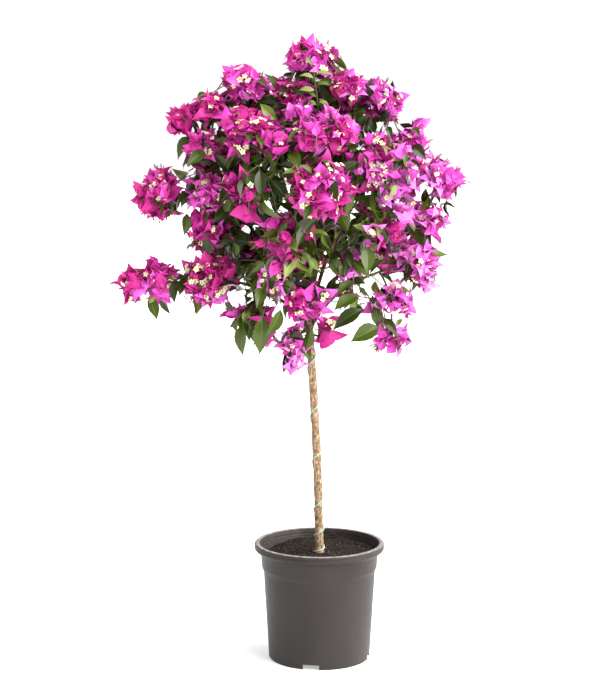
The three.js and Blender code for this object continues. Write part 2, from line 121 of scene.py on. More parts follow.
room = bpy.data.worlds.new("white_room")
room.use_nodes = True
bpy.context.scene.world = room
nodes, links = room.node_tree.nodes, room.node_tree.links
way = nodes.new("ShaderNodeTexCoord")
sides = nodes.new("ShaderNodeSeparateXYZ")
links.new(way.outputs["Generated"], sides.inputs[0])
left_to_right = add_range(nodes, links, sides.outputs["X"], From_Min=-1)
wall_colours = [(position, (grey, grey, grey)) for position, grey in WALL_GREYS] + [(1, BRIGHT_WALL)]
walls_and_ceiling = nodes.new("ShaderNodeMix")
walls_and_ceiling.data_type = "RGBA"
walls_and_ceiling.blend_type = "MULTIPLY"
walls_and_ceiling.inputs["Factor"].default_value = 1
links.new(add_ramp(nodes, links, left_to_right, wall_colours), walls_and_ceiling.inputs["A"])
links.new(add_ramp(nodes, links, sides.outputs["Z"], CEILING), walls_and_ceiling.inputs["B"])
links.new(walls_and_ceiling.outputs["Result"], nodes["Background"].inputs["Color"])
nodes["Background"].inputs["Strength"].default_value = WALL_STRENGTH

bpy.ops.object.light_add(type="SUN", rotation=(LAMP_TILT, 0, LAMP_TURN))
lamp = bpy.context.object
lamp.name = "key_light"
lamp.data.energy = LAMP_STRENGTH
lamp.data.angle = LAMP_SPREAD


# The pot: a nursery pot moulded in one piece of dull dark grey plastic, with a flat rolled rim over a
# cone-shaped ledge, a collar, a tapering wall, a notched skirt and a raised floor with drain holes. The
# profile, as (radius, height), runs from under the floor up the outside, over the rim and down the inside.
MM = 0.001  # the pot's own sizes are in millimetres
POT_OUTSIDE = [(29, 0), (32, 8), (72.6, 8), (72.1, 0), (73.4, 0), (74.3, 1.2), (81.8, 129), (84.5, 136),
               (86, 155.5), (94.2, 161.8), (95, 163), (95, 166.2), (94.5, 166.8), (95, 167.4), (95, 170.1)]
POT_LIP = [(93.4, 171.5), (88.9, 171.5)]
POT_WALL = [(88, 170.8), (84.6, 157.2), (84.1, 155.5), (82.9, 141), (82.6, 136), (79.9, 129), (73, 10)]
POT_FLOOR = [(31.2, 10), (28.2, 2)]
POT_SIDES = 112
INNER_RIBS = [165.2, 161.4, 158.6, 152]
RIB_RISE = 0.4
RIB_HALF_WIDTH = 0.9
NOTCHES = 4
NOTCH_TURN = math.radians(-100)
NOTCH_HALF_WIDTH_AT_FLOOR = 9.6
NOTCH_HALF_WIDTH_ABOVE = 7.2
NOTCH_HEIGHT = 7.5
NOTCH_HALF_DEPTH = 8
NOTCH_ROUNDING = 1.6
NOTCH_CIRCLE = 74
DRAINS = 6
DRAIN_RADIUS = 5
DRAIN_CIRCLE = 54
DRAIN_MIDDLE = 9
DRAIN_DEPTH = 6
EDGE_ROUNDING = 0.35
ROUNDED_ABOVE = math.radians(35)
SMOOTH_BELOW = math.radians(14)
# Heights above which the flat top of the lip is painted paler, a painted highlight.
LIP_HIGHLIGHT_HEIGHTS = (0.1704, 0.1715)  # in metres, as the material and the mesh have them
# Heights between which the inside of the wall takes its own mottled brown material, a painted shade.
INSIDE_SHADE_HEIGHTS = (0.0105, 0.1700)


def raise_rings(name, rings, sides):
    """A round body raised from one circle by rings of (x, y, height, radius), and closed at its ends."""
    bpy.ops.object.select_all(action="DESELECT")
    x, y, height, radius = rings[0]
    bpy.ops.mesh.primitive_circle_add(vertices=sides, radius=radius)
    body = bpy.context.object
    body.name = name
    body.data.name = name
    bpy.ops.object.mode_set(mode="EDIT")
    bpy.ops.transform.translate(value=(x, y, height))
    for before, after in zip(rings, rings[1:]):
        step = [after[i] - before[i] for i in range(3)]
        bpy.ops.mesh.extrude_edges_move(TRANSFORM_OT_translate={"value": step})
        share = after[3] / before[3]
        bpy.ops.transform.resize(value=(share, share, 1), center_override=after[:3])
    bpy.ops.mesh.select_all(action="SELECT")
    bpy.ops.mesh.fill_holes(sides=0)
    bpy.ops.mesh.normals_make_consistent(inside=False)
    bpy.ops.object.mode_set(mode="OBJECT")
    return body


def select_only(piece):
    """Selects one piece and nothing else, and makes it the active one."""
    bpy.ops.object.select_all(action="DESELECT")
    piece.select_set(True)
    bpy.context.view_layer.objects.active = piece


def apply_modifier(piece, kind, **settings):
    """Adds a modifier with these settings to a piece and applies it."""
    select_only(piece)
    modifier = piece.modifiers.new(kind.lower(), kind)
    for setting, value in settings.items():
        setattr(modifier, setting, value)
    bpy.ops.object.modifier_apply(modifier=modifier.name)


def place_for_good(piece):
    """Puts the object's own place and turn into its mesh, so that the object sits at the origin."""
    select_only(piece)
    bpy.ops.object.transform_apply(location=True, rotation=True, scale=True)


def cut_away(piece, tool):
    """Cuts the shape of a tool out of a piece, and takes the tool away."""
    apply_modifier(piece, "BOOLEAN", operation="DIFFERENCE", solver="EXACT", object=tool)
    bpy.data.objects.remove(tool)


wall_radii, wall_heights = zip(*reversed(POT_WALL))
ribs = []
for height in INNER_RIBS:
    radius = float(np.interp(height, wall_heights, wall_radii))
    rib_crest = (radius - RIB_RISE, height)
    ribs += [(radius, height + RIB_HALF_WIDTH), rib_crest, (radius, height - RIB_HALF_WIDTH)]
wall = sorted(POT_WALL + ribs, key=lambda point: -point[1])
profile = POT_OUTSIDE + POT_LIP + wall + POT_FLOOR
pot = raise_rings("pot_shell", [(0, 0, height * MM, radius * MM) for radius, height in profile], POT_SIDES)
for i in range(NOTCHES):
    half_sizes = (NOTCH_HALF_DEPTH * MM, NOTCH_HALF_WIDTH_ABOVE * MM, NOTCH_HEIGHT * MM)
    bpy.ops.mesh.primitive_cube_add(size=2, scale=half_sizes)
    notch = bpy.context.object
    for vertex in notch.data.vertices:
        vertex.select = vertex.co.z < 0
    bpy.ops.object.mode_set(mode="EDIT")
    flare = 2 * NOTCH_HALF_WIDTH_AT_FLOOR / NOTCH_HALF_WIDTH_ABOVE - 1
    bpy.ops.transform.resize(value=(1, flare, 1))
    bpy.ops.mesh.select_all(action="SELECT")
    bpy.ops.mesh.bevel(offset=NOTCH_ROUNDING * MM, segments=4, affect="EDGES")
    bpy.ops.object.mode_set(mode="OBJECT")
    place_for_good(notch)
    turn = NOTCH_TURN + math.tau * i / NOTCHES
    notch.rotation_euler = (0, 0, turn)
    notch.location = (NOTCH_CIRCLE * MM * math.cos(turn), NOTCH_CIRCLE * MM * math.sin(turn), 0)
    bpy.context.view_layer.update()
    cut_away(pot, notch)
for i in range(DRAINS):
    turn = math.tau * (i + 0.5) / DRAINS
    middle = (DRAIN_CIRCLE * MM * math.cos(turn), DRAIN_CIRCLE * MM * math.sin(turn), DRAIN_MIDDLE * MM)
    bpy.ops.mesh.primitive_cylinder_add(vertices=24, radius=DRAIN_RADIUS * MM, depth=DRAIN_DEPTH * MM,
                                        location=middle)
    cut_away(pot, bpy.context.object)
apply_modifier(pot, "BEVEL", width=EDGE_ROUNDING * MM, segments=2, limit_method="ANGLE",
               angle_limit=ROUNDED_ABOVE)
bpy.ops.object.shade_smooth_by_angle(angle=SMOOTH_BELOW)


def add_noise(nodes, links, scale, stretch=(1, 1, 1), detail=4):
    """A noise in the object's own metres, stretched along its axes."""
    place = nodes.new("ShaderNodeTexCoord")
    mapping = nodes.new("ShaderNodeMapping")
    mapping.inputs["Scale"].default_value = stretch
    pattern = nodes.new("ShaderNodeTexNoise")
    pattern.inputs["Scale"].default_value = scale
    pattern.inputs["Detail"].default_value = detail
    links.new(place.outputs["Object"], mapping.inputs["Vector"])
    links.new(mapping.outputs[0], pattern.inputs["Vector"])
    return pattern.outputs["Fac"]


def add_bump(nodes, links, shader, source, strength, distance):
    """Fine relief on the shader from a value, with its full depth in metres."""
    bump = nodes.new("ShaderNodeBump")
    bump.inputs["Strength"].default_value = strength
    bump.inputs["Distance"].default_value = distance
    links.new(source, bump.inputs["Height"])
    links.new(bump.outputs[0], shader.inputs["Normal"])


def blend_colours(nodes, links, share, first, second):
    """Two colours, mixed by a value from 0 to 1."""
    mix = nodes.new("ShaderNodeMix")
    mix.data_type = "RGBA"
    links.new(share, mix.inputs["Factor"])
    links.new(first, mix.inputs["A"])
    links.new(second, mix.inputs["B"])
    return mix.outputs["Result"]


plastic, nodes, links, shader = new_material("pot_plastic", Specular_IOR_Level=0.28)
mottle = add_noise(nodes, links, scale=22, stretch=(1, 1, 0.5))
grey = add_ramp(nodes, links, mottle, [(0.3, (0.0215, 0.0168, 0.0145)), (0.7, (0.029, 0.023, 0.020))])
scuffs_and_highlight = add_noise(nodes, links, scale=160, stretch=(1, 1, 0.25), detail=6)
pale = add_ramp(nodes, links, scuffs_and_highlight, [(0.35, (0.13, 0.118, 0.113)), (0.7, (0.34, 0.315, 0.31))])
place = nodes.new("ShaderNodeTexCoord")
height = nodes.new("ShaderNodeSeparateXYZ")
links.new(place.outputs["Object"], height.inputs[0])
# The flat top of the lip is painted paler than the rest, a painted highlight, mottled by the same noise that
# varies the roughness.
highlight_from, highlight_to = LIP_HIGHLIGHT_HEIGHTS
lip_highlight = add_range(nodes, links, height.outputs["Z"], From_Min=highlight_from, From_Max=highlight_to)
links.new(blend_colours(nodes, links, lip_highlight, grey, pale), shader.inputs["Base Color"])
links.new(add_range(nodes, links, scuffs_and_highlight, To_Min=0.4, To_Max=0.56), shader.inputs["Roughness"])
fine_grain = add_noise(nodes, links, scale=900, stretch=(1, 1, 0.6))
add_bump(nodes, links, shader, fine_grain, strength=0.12, distance=0.0004)
pot.data.materials.append(plastic)

# The inside of the wall gets its own mottled brown material in place of the grey plastic: painted shade
# inside the pot.
inside_shade, nodes, links, shader = new_material("inside_shade_plastic", Specular_IOR_Level=0.3, Roughness=0.62)
inside_mottle = add_noise(nodes, links, scale=75, stretch=(1, 1, 2.5), detail=6)
browns = [(0.35, (0.021, 0.0145, 0.012)), (0.6, (0.033, 0.024, 0.0205)), (0.75, (0.052, 0.039, 0.034))]
links.new(add_ramp(nodes, links, inside_mottle, browns), shader.inputs["Base Color"])
add_bump(nodes, links, shader, add_noise(nodes, links, scale=900), strength=0.2, distance=0.0004)
pot.data.materials.append(inside_shade)
for face in pot.data.polygons:
    middle, out = face.center, face.normal
    facing_in = middle.x * out.x + middle.y * out.y < -0.3 * math.hypot(middle.x, middle.y)
    face.material_index = int(facing_in and INSIDE_SHADE_HEIGHTS[0] < middle.z < INSIDE_SHADE_HEIGHTS[1])
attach(pot, "root")
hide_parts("pot")


# The compost: dark, damp potting mix that fills the pot to a finger's width below the rim, lower by the
# wall at the left, with a loose top of crumbs, bark slivers and a few pale bits.
FILL_TOP = 0.1555
FILL_EDGE = 0.0832
FILL_BODY = [(0.0104, 0.0722), (0.128, 0.0791), (0.1365, 0.0821), (FILL_TOP - 0.004, 0.0836)]
FILL_DIP = 0.0075
FILL_DIP_PLACE = (-0.080, 0.014)
FILL_DIP_REACH = 0.046
FILL_BACK_RISE = 0.0032
FILL_MOUND = 0.0016
FILL_MOUND_REACH = 0.02
FILL_WAVES = [(0.0016, 45, 0.3), (0.0012, 130, 0.9)]
FILL_GRAIN = 0.0016
FILL_RINGS = 26
FILL_SIDES = 96
CRUMBS = 1500
CRUMB_SIZES = (0.0006, 0.0019)
CRUMB_REACH = 0.0822
SLIVERS = 260
SLIVER_LENGTHS = (0.003, 0.0062)
SLIVER_WIDTHS = (0.0005, 0.0011)
SLIVER_THICKNESS = 0.0005
ROOM_FOR_STEM = 0.011
CRUMB_BROWNS = [(0.011, 0.007, 0.0045), (0.023, 0.014, 0.009), (0.042, 0.025, 0.016), (0.075, 0.048, 0.031),
                (0.20, 0.16, 0.12)]
CRUMB_SHARES = [0.42, 0.34, 0.16, 0.065, 0.015]
random = np.random.default_rng(7)


def fill_height(x, y):
    """The compost's surface at a place, before its finest relief."""
    away = math.hypot(x - FILL_DIP_PLACE[0], y - FILL_DIP_PLACE[1]) / FILL_DIP_REACH
    mound = FILL_MOUND * math.exp(-math.hypot(x, y) / FILL_MOUND_REACH)
    back_rise = FILL_BACK_RISE * max(0, y / FILL_EDGE) ** 1.5
    waves = sum(rise * noise.noise(Vector((x, y, level)) * fineness) for rise, fineness, level in FILL_WAVES)
    return FILL_TOP - FILL_DIP * math.exp(-away * away) + (mound + back_rise) + waves


body = [(0, 0, height, radius) for height, radius in FILL_BODY]
surface = [(0, 0, FILL_TOP, FILL_EDGE * (1 - i / FILL_RINGS)) for i in range(FILL_RINGS)]
compost = raise_rings("compost_fill", body + surface, FILL_SIDES)
for vertex in compost.data.vertices:
    x, y, z = vertex.co
    if z > FILL_TOP - 0.001:
        vertex.co.z = fill_height(x, y) + FILL_GRAIN * noise.noise(vertex.co * 420)
bpy.ops.object.shade_smooth_by_angle(angle=math.radians(80))
damp_mix, nodes, links, shader = new_material("damp_mix", Roughness=0.95, Specular_IOR_Level=0.15)
clods = add_noise(nodes, links, scale=260, detail=6)
browns = [(0.3, (0.008, 0.005, 0.004)), (0.5, (0.018, 0.011, 0.0075)), (0.62, (0.034, 0.020, 0.013)),
          (0.75, (0.06, 0.038, 0.026))]
links.new(add_ramp(nodes, links, clods, browns), shader.inputs["Base Color"])
add_bump(nodes, links, shader, add_noise(nodes, links, scale=700, detail=8), strength=0.9, distance=0.0015)
compost.data.materials.append(damp_mix)
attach(compost, "root")
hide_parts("compost")


def joined_piece(name, places, faces, tints, materials, smooth=True):
    """One mesh from many small shapes: their corners, faces, and the number of each face's material."""
    mesh = bpy.data.meshes.new(name)
    mesh.from_pydata(np.asarray(places, float).tolist(), [], [list(map(int, face)) for face in faces])
    for material in materials:
        mesh.materials.append(material)
    mesh.polygons.foreach_set("material_index", np.asarray(tints, np.int32))
    mesh.polygons.foreach_set("use_smooth", np.full(len(mesh.polygons), smooth))
    mesh.update()
    piece = bpy.data.objects.new(name, mesh)
    bpy.context.scene.collection.objects.link(piece)
    return piece


bpy.ops.mesh.primitive_ico_sphere_add(subdivisions=1, radius=1)
lump = bpy.context.object
lump_places = np.array([vertex.co for vertex in lump.data.vertices])
lump_faces = np.array([polygon.vertices for polygon in lump.data.polygons])
bpy.data.objects.remove(lump)
places, faces, tints = [], [], []
for i in range(CRUMBS + SLIVERS):
    reach = CRUMB_REACH * math.sqrt(random.uniform(0.01, 1))
    turn = random.uniform(0, math.tau)
    x, y = reach * math.cos(turn), reach * math.sin(turn)
    if math.hypot(x, y) < ROOM_FOR_STEM:
        continue
    size = random.uniform(*CRUMB_SIZES) * np.array([1, random.uniform(0.6, 1), random.uniform(0.5, 0.9)])
    if i >= CRUMBS:
        size = np.array([random.uniform(*SLIVER_LENGTHS), random.uniform(*SLIVER_WIDTHS), SLIVER_THICKNESS])
    uneven = lump_places * (1 + random.uniform(-0.3, 0.3, (len(lump_places), 1)))
    spin = random.uniform(0, math.tau)
    cos, sin = math.cos(spin), math.sin(spin)
    turned_way = np.array([[cos, -sin, 0], [sin, cos, 0], [0, 0, 1]])
    middle = np.array([x, y, fill_height(x, y) + 0.3 * size[2]])
    faces += (lump_faces + len(lump_places) * len(places)).tolist()
    places.append((uneven * size) @ turned_way.T + middle)
    tints += [int(random.choice(5, p=CRUMB_SHARES))] * len(lump_faces)
crumb_materials = [plain_material(f"crumb_{i}", brown, 0.95) for i, brown in enumerate(CRUMB_BROWNS)]
crumbs = joined_piece("compost_crumbs", np.concatenate(places), faces, tints, crumb_materials, smooth=False)
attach(crumbs, "root")


# The stem: one clear trunk as thick as a finger, of ringed and flecked tan bark, leaning a little to the
# left as it rises. It has a small flare with four toes at the compost, and a knot low on the left. Each
# kind of relief has its rise in metres, and then how fine it is round the stem and along it, or its reach.
STEM_FOOT = 0.152
STEM_TOP = 0.512
STEM_LINE_FOOT = 0.148
STEM_LEAN_X = [-0.0005, -0.0016, -0.0052, -0.0106, -0.0165]
STEM_LEAN_Y = [0, 0, 0.001, 0.001, 0.002]
STEM_RADII = (0.0064, 0.0056)
STEM_FLARE = 0.0026
STEM_FLARE_FADE = 0.007
STEM_SIDES = 56
STEM_RINGS = 170
FISSURES = (0.00032, 3.2, 70)
FLAKES = (0.00022, 5, 330)
SWELLINGS = (0.00045, 42)
TOES = 0.0011
TOE_FADE = 0.009
KNOT_HEIGHT = 0.212
KNOT_TURN = -0.93 * math.pi
KNOT_RIDGE = (0.0010, 0.0032)
KNOT_PIT = (0.0009, 0.0012)
lean_heights = np.linspace(STEM_LINE_FOOT, STEM_TOP, len(STEM_LEAN_X))
lean_x = np.polyfit(lean_heights - STEM_FOOT, STEM_LEAN_X, 4)
lean_y = np.polyfit(lean_heights - STEM_FOOT, STEM_LEAN_Y, 4)


def stem_middle(height):
    """The stem's middle line at a height."""
    climbed = min(height, STEM_TOP) - STEM_FOOT
    return Vector((float(np.polyval(lean_x, climbed)), float(np.polyval(lean_y, climbed)), height))


def stem_radius(height):
    """The stem's radius at a height, with its flare at the foot."""
    climbed = (height - STEM_FOOT) / (STEM_TOP - STEM_FOOT)
    flare = STEM_FLARE * math.exp(-(height - STEM_FOOT) / STEM_FLARE_FADE)
    return STEM_RADII[0] + (STEM_RADII[1] - STEM_RADII[0]) * climbed + flare


def bark_place(turn, height, fine_round, fine_along):
    """A place in the bark's pattern, by how fine the pattern is round the stem and along it."""
    return Vector((fine_round * math.cos(turn), fine_round * math.sin(turn), height * fine_along))


heights = STEM_FOOT + (STEM_TOP - STEM_FOOT) * np.linspace(0, 1, STEM_RINGS) ** 1.25
rings = [(*stem_middle(height)[:2], height, stem_radius(height)) for height in heights.tolist()]
stem = raise_rings("stem_bark", rings, STEM_SIDES)
for vertex in stem.data.vertices:
    height = vertex.co.z
    middle = stem_middle(height)
    out = vertex.co - middle
    if out.length < 0.001:
        continue
    turn = math.atan2(out.y, out.x)
    fissures = FISSURES[0] * noise.fractal(bark_place(turn, height, *FISSURES[1:]), 0.8, 2.2, 5)
    flakes = FLAKES[0] * noise.noise(bark_place(turn, height, *FLAKES[1:]))
    swelling = SWELLINGS[0] * noise.noise(Vector((0.2, 0.4, height * SWELLINGS[1])))
    toes = TOES * math.cos(4 * turn + 0.7) * math.exp(-(height - STEM_FOOT) / TOE_FADE)
    knot_away = math.hypot((turn - KNOT_TURN) * 0.0063, height - KNOT_HEIGHT)
    ridge, pit = (rise * math.exp(-(knot_away / reach) ** 2) for rise, reach in (KNOT_RIDGE, KNOT_PIT))
    vertex.co += out.normalized() * (fissures + flakes + swelling + toes + ridge - pit)
bpy.ops.object.shade_smooth_by_angle(angle=math.radians(50))
stem_wood, nodes, links, shader = new_material("stem_wood", Roughness=0.82, Specular_IOR_Level=0.25)
streaks = add_noise(nodes, links, scale=380, stretch=(1, 1, 0.5), detail=6)
tans = [(0.34, (0.10, 0.062, 0.032)), (0.45, (0.20, 0.13, 0.072)), (0.54, (0.30, 0.20, 0.118)),
        (0.64, (0.52, 0.39, 0.275))]
tan = add_ramp(nodes, links, streaks, tans)
rusts = [(0.4, (0.36, 0.19, 0.085)), (0.6, (0.15, 0.095, 0.055))]
rust = add_ramp(nodes, links, add_noise(nodes, links, scale=90), rusts)
flecks = add_noise(nodes, links, scale=620, stretch=(1, 1, 0.55), detail=3)
fleck_share = add_range(nodes, links, flecks, From_Min=0.56, From_Max=0.66)
links.new(blend_colours(nodes, links, fleck_share, tan, rust), shader.inputs["Base Color"])
add_bump(nodes, links, shader, flecks, strength=0.5, distance=0.0006)
stem.data.materials.append(stem_wood)
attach(stem, "root")
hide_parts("stem")


# The tie wire: one thin wire with a pale green plastic coat, wound up the stem by hand. Each entry is
# a height in millimetres and the turns made by then, counted from the front.
WIRE_RADIUS = 0.0008
WIRE_SLACK = 0.0001
WIRE_TURNS = [(157, -0.25), (164, 0.25), (181, 0.75), (192, 1.25), (221, 1.75), (239, 2.25), (293, 2.75),
              (310, 3.25), (359, 3.75), (380, 4.25), (430, 4.75), (449, 5.25), (476, 5.6)]
WIRE_STEPS_A_TURN = 40
wire_heights = [height * MM for height, _ in WIRE_TURNS]
wire_turns = [turns for _, turns in WIRE_TURNS]
wire_line = bpy.data.curves.new("wire_coil", "CURVE")
wire_line.dimensions = "3D"
spline = wire_line.splines.new("POLY")
steps = int((wire_turns[-1] - wire_turns[0]) * WIRE_STEPS_A_TURN)
spline.points.add(steps)
for point, turns in zip(spline.points, np.linspace(wire_turns[0], wire_turns[-1], steps + 1).tolist()):
    height = float(np.interp(turns, wire_turns, wire_heights))
    reach = stem_radius(height) + WIRE_SLACK + WIRE_RADIUS
    middle = stem_middle(height)
    x = middle.x + reach * math.sin(math.tau * turns)
    y = middle.y - reach * math.cos(math.tau * turns)
    point.co = (x, y, height, 1)
wire_line.bevel_depth = WIRE_RADIUS
wire_line.bevel_resolution = 2
wire_line.use_fill_caps = True
wire = bpy.data.objects.new("wire_coil", wire_line)
bpy.context.scene.collection.objects.link(wire)
select_only(wire)
bpy.ops.object.convert(target="MESH")
wire = bpy.context.object
bpy.ops.object.shade_smooth()
mint_coat, nodes, links, shader = new_material("mint_coat", Roughness=0.42)
worn = add_noise(nodes, links, scale=140, detail=2)
mints = [(0.35, (0.30, 0.48, 0.37)), (0.65, (0.48, 0.68, 0.55))]
links.new(add_ramp(nodes, links, worn, mints), shader.inputs["Base Color"])
wire.data.materials.append(mint_coat)
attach(wire, "root")
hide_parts("tie_wire")


# The boughs: eleven green-brown limbs that fork off the top of the stem, each tapering into the middle
# of the mass that it carries, and three thin stalks that reach out to the sprays at the sides. A bough has
# its mass, the height where it leaves the stem, how early it climbs, and its radius there.
BOUGHS = {
    "bough_top": ("top_spire", 0.510, 0.5, 0.0044),
    "bough_upper_left": ("upper_left", 0.500, 0.62, 0.0042),
    "bough_upper_right": ("upper_right", 0.504, 0.6, 0.004),
    "bough_left": ("left_middle", 0.490, 0.7, 0.0038),
    "bough_right": ("right_middle", 0.494, 0.62, 0.0036),
    "bough_front": ("front_middle", 0.506, 0.66, 0.0036),
    "bough_back": ("back_middle", 0.498, 0.64, 0.0038),
    "bough_low_left": ("left_low", 0.480, 0.85, 0.0034),
    "bough_low_right": ("right_low", 0.484, 0.8, 0.0034),
    "bough_back_left": ("back_left", 0.488, 0.66, 0.0034),
    "bough_back_right": ("back_right", 0.492, 0.66, 0.0034),
}
STALKS = {
    "stalk_left": ("left_middle", "spray_left"),
    "stalk_low_left": ("left_low", "spray_low_left"),
    "stalk_shoulder": ("back_right", "shoulder_right"),
}
BOUGH_SPREAD = 0.22
BOUGH_TIP_SHARE = 0.42
BOUGH_STEPS = 30
BOUGH_SIDES = 12
BOUGH_ROUGHNESS = 0.10
STALK_RADIUS = 0.0016
STALK_TIP_SHARE = 0.7
STALK_SAG = 0.005
STALK_SIDES = 10
STALK_ROUGHNESS = 0.08
LIMB_NAMES = [*BOUGHS, *STALKS, "pot", "compost", "stem", "tie_wire"]
MASS_NAMES = [name for name in frame["nodes"] if name not in LIMB_NAMES]
MASS_MIDDLES = {name: np.array(sum(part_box(name), Vector()) / 2) for name in MASS_NAMES}


def bend(start, middle, end, steps):
    """Places along a limb that leaves its start towards a middle place and comes to its end."""
    along = np.linspace(0, 1, steps + 1)[:, None]
    return (1 - along) ** 2 * start + 2 * along * (1 - along) * middle + along**2 * end


def units(ways):
    """Ways, one to a row, each made of length one."""
    return ways / np.linalg.norm(ways, axis=1)[:, None]


def tube(points, radii, sides):
    """A limb's corners and faces: a ring of corners round each point, and a face over each end."""
    points = np.asarray(points)
    ways = units(np.gradient(points, axis=0))
    whole_way = np.abs(points[-1] - points[0])
    reference = np.eye(3)[int(np.argmin(whole_way))]
    across = units(np.cross(ways, reference))
    up = np.cross(across, ways)
    turns = np.arange(sides) * math.tau / sides
    ring = across[:, None] * np.cos(turns)[None, :, None] + up[:, None] * np.sin(turns)[None, :, None]
    corners = (points[:, None] + ring * np.asarray(radii)[:, None, None]).reshape(-1, 3)
    faces = []
    for step in range(len(points) - 1):
        for side in range(sides):
            a, b = step * sides + side, step * sides + (side + 1) % sides
            faces.append((a, a + sides, b + sides, b))
    faces.append(tuple(range(sides)))
    last = (len(points) - 1) * sides
    faces.append(tuple(last + side for side in reversed(range(sides))))
    return corners, faces


class Heap:
    """Small shapes gathered to be joined in one piece."""

    def __init__(self):
        self.corners, self.faces, self.tints, self.count = [], [], [], 0

    def add(self, corners, faces, tint):
        self.corners.append(corners)
        self.faces += [tuple(self.count + corner for corner in face) for face in faces]
        self.tints += [tint] * len(faces)
        self.count += len(corners)

    def joined(self, name, materials):
        return joined_piece(name, np.concatenate(self.corners), self.faces, self.tints, materials)


# Every place along the limbs and twigs from which something can grow.
growing_points = []


def grow(heap, points, radii, sides, tint=0, roughness=0):
    """Adds a limb to a heap and to the places from which more can grow."""
    corners, faces = tube(points, radii, sides)
    if roughness:
        middles = np.repeat(points, sides, axis=0)
        rough = [noise.fractal(Vector(corner) * 260, 0.7, 2.1, 4) for corner in corners.tolist()]
        corners = middles + (corners - middles) * (1 + roughness * np.array(rough))[:, None]
    heap.add(corners, faces, tint)
    growing_points.extend(np.asarray(points).tolist())


boughs = Heap()
for target, leaves_at, climb, radius in BOUGHS.values():
    start = np.array(stem_middle(leaves_at))
    end = MASS_MIDDLES[target]
    middle = start + (end - start) * BOUGH_SPREAD
    middle[2] = start[2] + (end[2] - start[2]) * climb
    radii = np.linspace(radius, radius * BOUGH_TIP_SHARE, BOUGH_STEPS + 1)
    grow(boughs, bend(start, middle, end, BOUGH_STEPS), radii, BOUGH_SIDES, roughness=BOUGH_ROUGHNESS)
for start_name, end_name in STALKS.values():
    start, end = MASS_MIDDLES[start_name], MASS_MIDDLES[end_name]
    middle = (start + end) / 2 - [0, 0, 2 * STALK_SAG]
    radii = np.linspace(STALK_RADIUS, STALK_RADIUS * STALK_TIP_SHARE, BOUGH_STEPS + 1)
    grow(boughs, bend(start, middle, end, BOUGH_STEPS), radii, STALK_SIDES, roughness=STALK_ROUGHNESS)
bough_wood, nodes, links, shader = new_material("bough_wood", Roughness=0.75, Specular_IOR_Level=0.3)
bark_greens = [(0.35, (0.045, 0.035, 0.014)), (0.5, (0.10, 0.075, 0.03)), (0.68, (0.20, 0.14, 0.065))]
bark_pattern = add_noise(nodes, links, scale=170, stretch=(1, 1, 0.6), detail=6)
links.new(add_ramp(nodes, links, bark_pattern, bark_greens), shader.inputs["Base Color"])
add_bump(nodes, links, shader, add_noise(nodes, links, scale=500), strength=0.4, distance=0.0006)
bough_bark = boughs.joined("bough_bark", [bough_wood])
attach(bough_bark, "root")
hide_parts(*BOUGHS, *STALKS)


# The twigs: thin green-brown shoots by a seeded rule. A leader runs into each mass from the nearest limb,
# side shoots fork from it towards the places where flowers or leaves sit, and each ends in fine stalks.
HEAD_MIDDLE = np.array([-0.03, 0, 0.66])
SKIN_PLACES = 9000
SKIN_SPREAD = 0.8
SKIN_WANDER = 0.16
LEADER_RADII = (0.0019, 0.0011)
LEADER_ARCH = 0.10
SHOOT_RADII = (0.0011, 0.0007)
SPRAY_SPACING = 0.044
SPRAY_DEPTH = 0.044
FLOWER_STALK_RADII = (0.0005, 0.00035)
FLOWER_STALK_REACH = 0.034
FLOWER_DEPTH = 0.023
FLOWER_SPACING = 0.0111
UNDER_SPACING = 0.0185
UNDER_DEPTH = 0.015
BROWN, GREEN = 0, 1

# Masses whose groups of bracts stand further apart, with how far.
OPEN_SPRAYS = {
    "stem_right": 0.026, "lowest": 0.0175, "low_front": 0.0155, "hanging_right": 0.0175,
    "hanging_tip": 0.021, "hanging_left": 0.018, "right_low": 0.0155, "right_middle": 0.0135,
    "front_low_right": 0.0135,
}

# The share of a mass that is in flower, where it isn't all of it, and the size of the patches of flowers.
BLOOM_PATCH = 0.045
BLOOM_OF = {
    "front_top": 0.82, "front_upper_left": 0.76, "front_right": 0.70, "front_left": 0.08,
    "front_middle": 0.62, "front_low_right": 0.64, "front_low": 0.42, "left_lower": 0.3, "left_low": 0.9,
    "low_left": 0.03, "hanging_left": 0.32, "leaves_right": 0.20, "right_middle": 0.72, "stem_right": 0.55,
    "hanging_leaves": 0.02, "hanging_tip": 0.5, "back_top": 0.85, "back_upper_left": 0.85,
    "back_right": 0.8, "back_middle": 0.75, "back_left": 0.65, "back_low": 0.5, "back_low_left": 0.55,
    "back_low_right": 0.6,
}

# Gaps of open air, seen from in front: the middle of each, aside and up, and its half width and height.
SKY_GAPS = (
    (-0.070, 0.668, 0.008, 0.006), (-0.094, 0.667, 0.006, 0.004), (-0.044, 0.713, 0.004, 0.006),
    (0.106, 0.771, 0.011, 0.012), (0.147, 0.702, 0.005, 0.005), (0.012, 0.572, 0.008, 0.020),
    (0.022, 0.529, 0.005, 0.022), (0.035, 0.476, 0.011, 0.011), (0.064, 0.502, 0.009, 0.008),
    (-0.193, 0.747, 0.009, 0.009), (-0.197, 0.698, 0.006, 0.007), (-0.183, 0.631, 0.005, 0.008),
    (-0.119, 0.521, 0.006, 0.006), (0.083, 0.647, 0.006, 0.005), (-0.255, 0.533, 0.009, 0.006),
)
ROOM_FOR_YOUNG_SHOOT = ((-0.005, 0.818, 0.011, 0.030),)
random = np.random.default_rng(41)
subparts = frame["record"]["subparts"]
LEAFY = {part["node"] for part in subparts if part["material_slot"] == "leaves"}

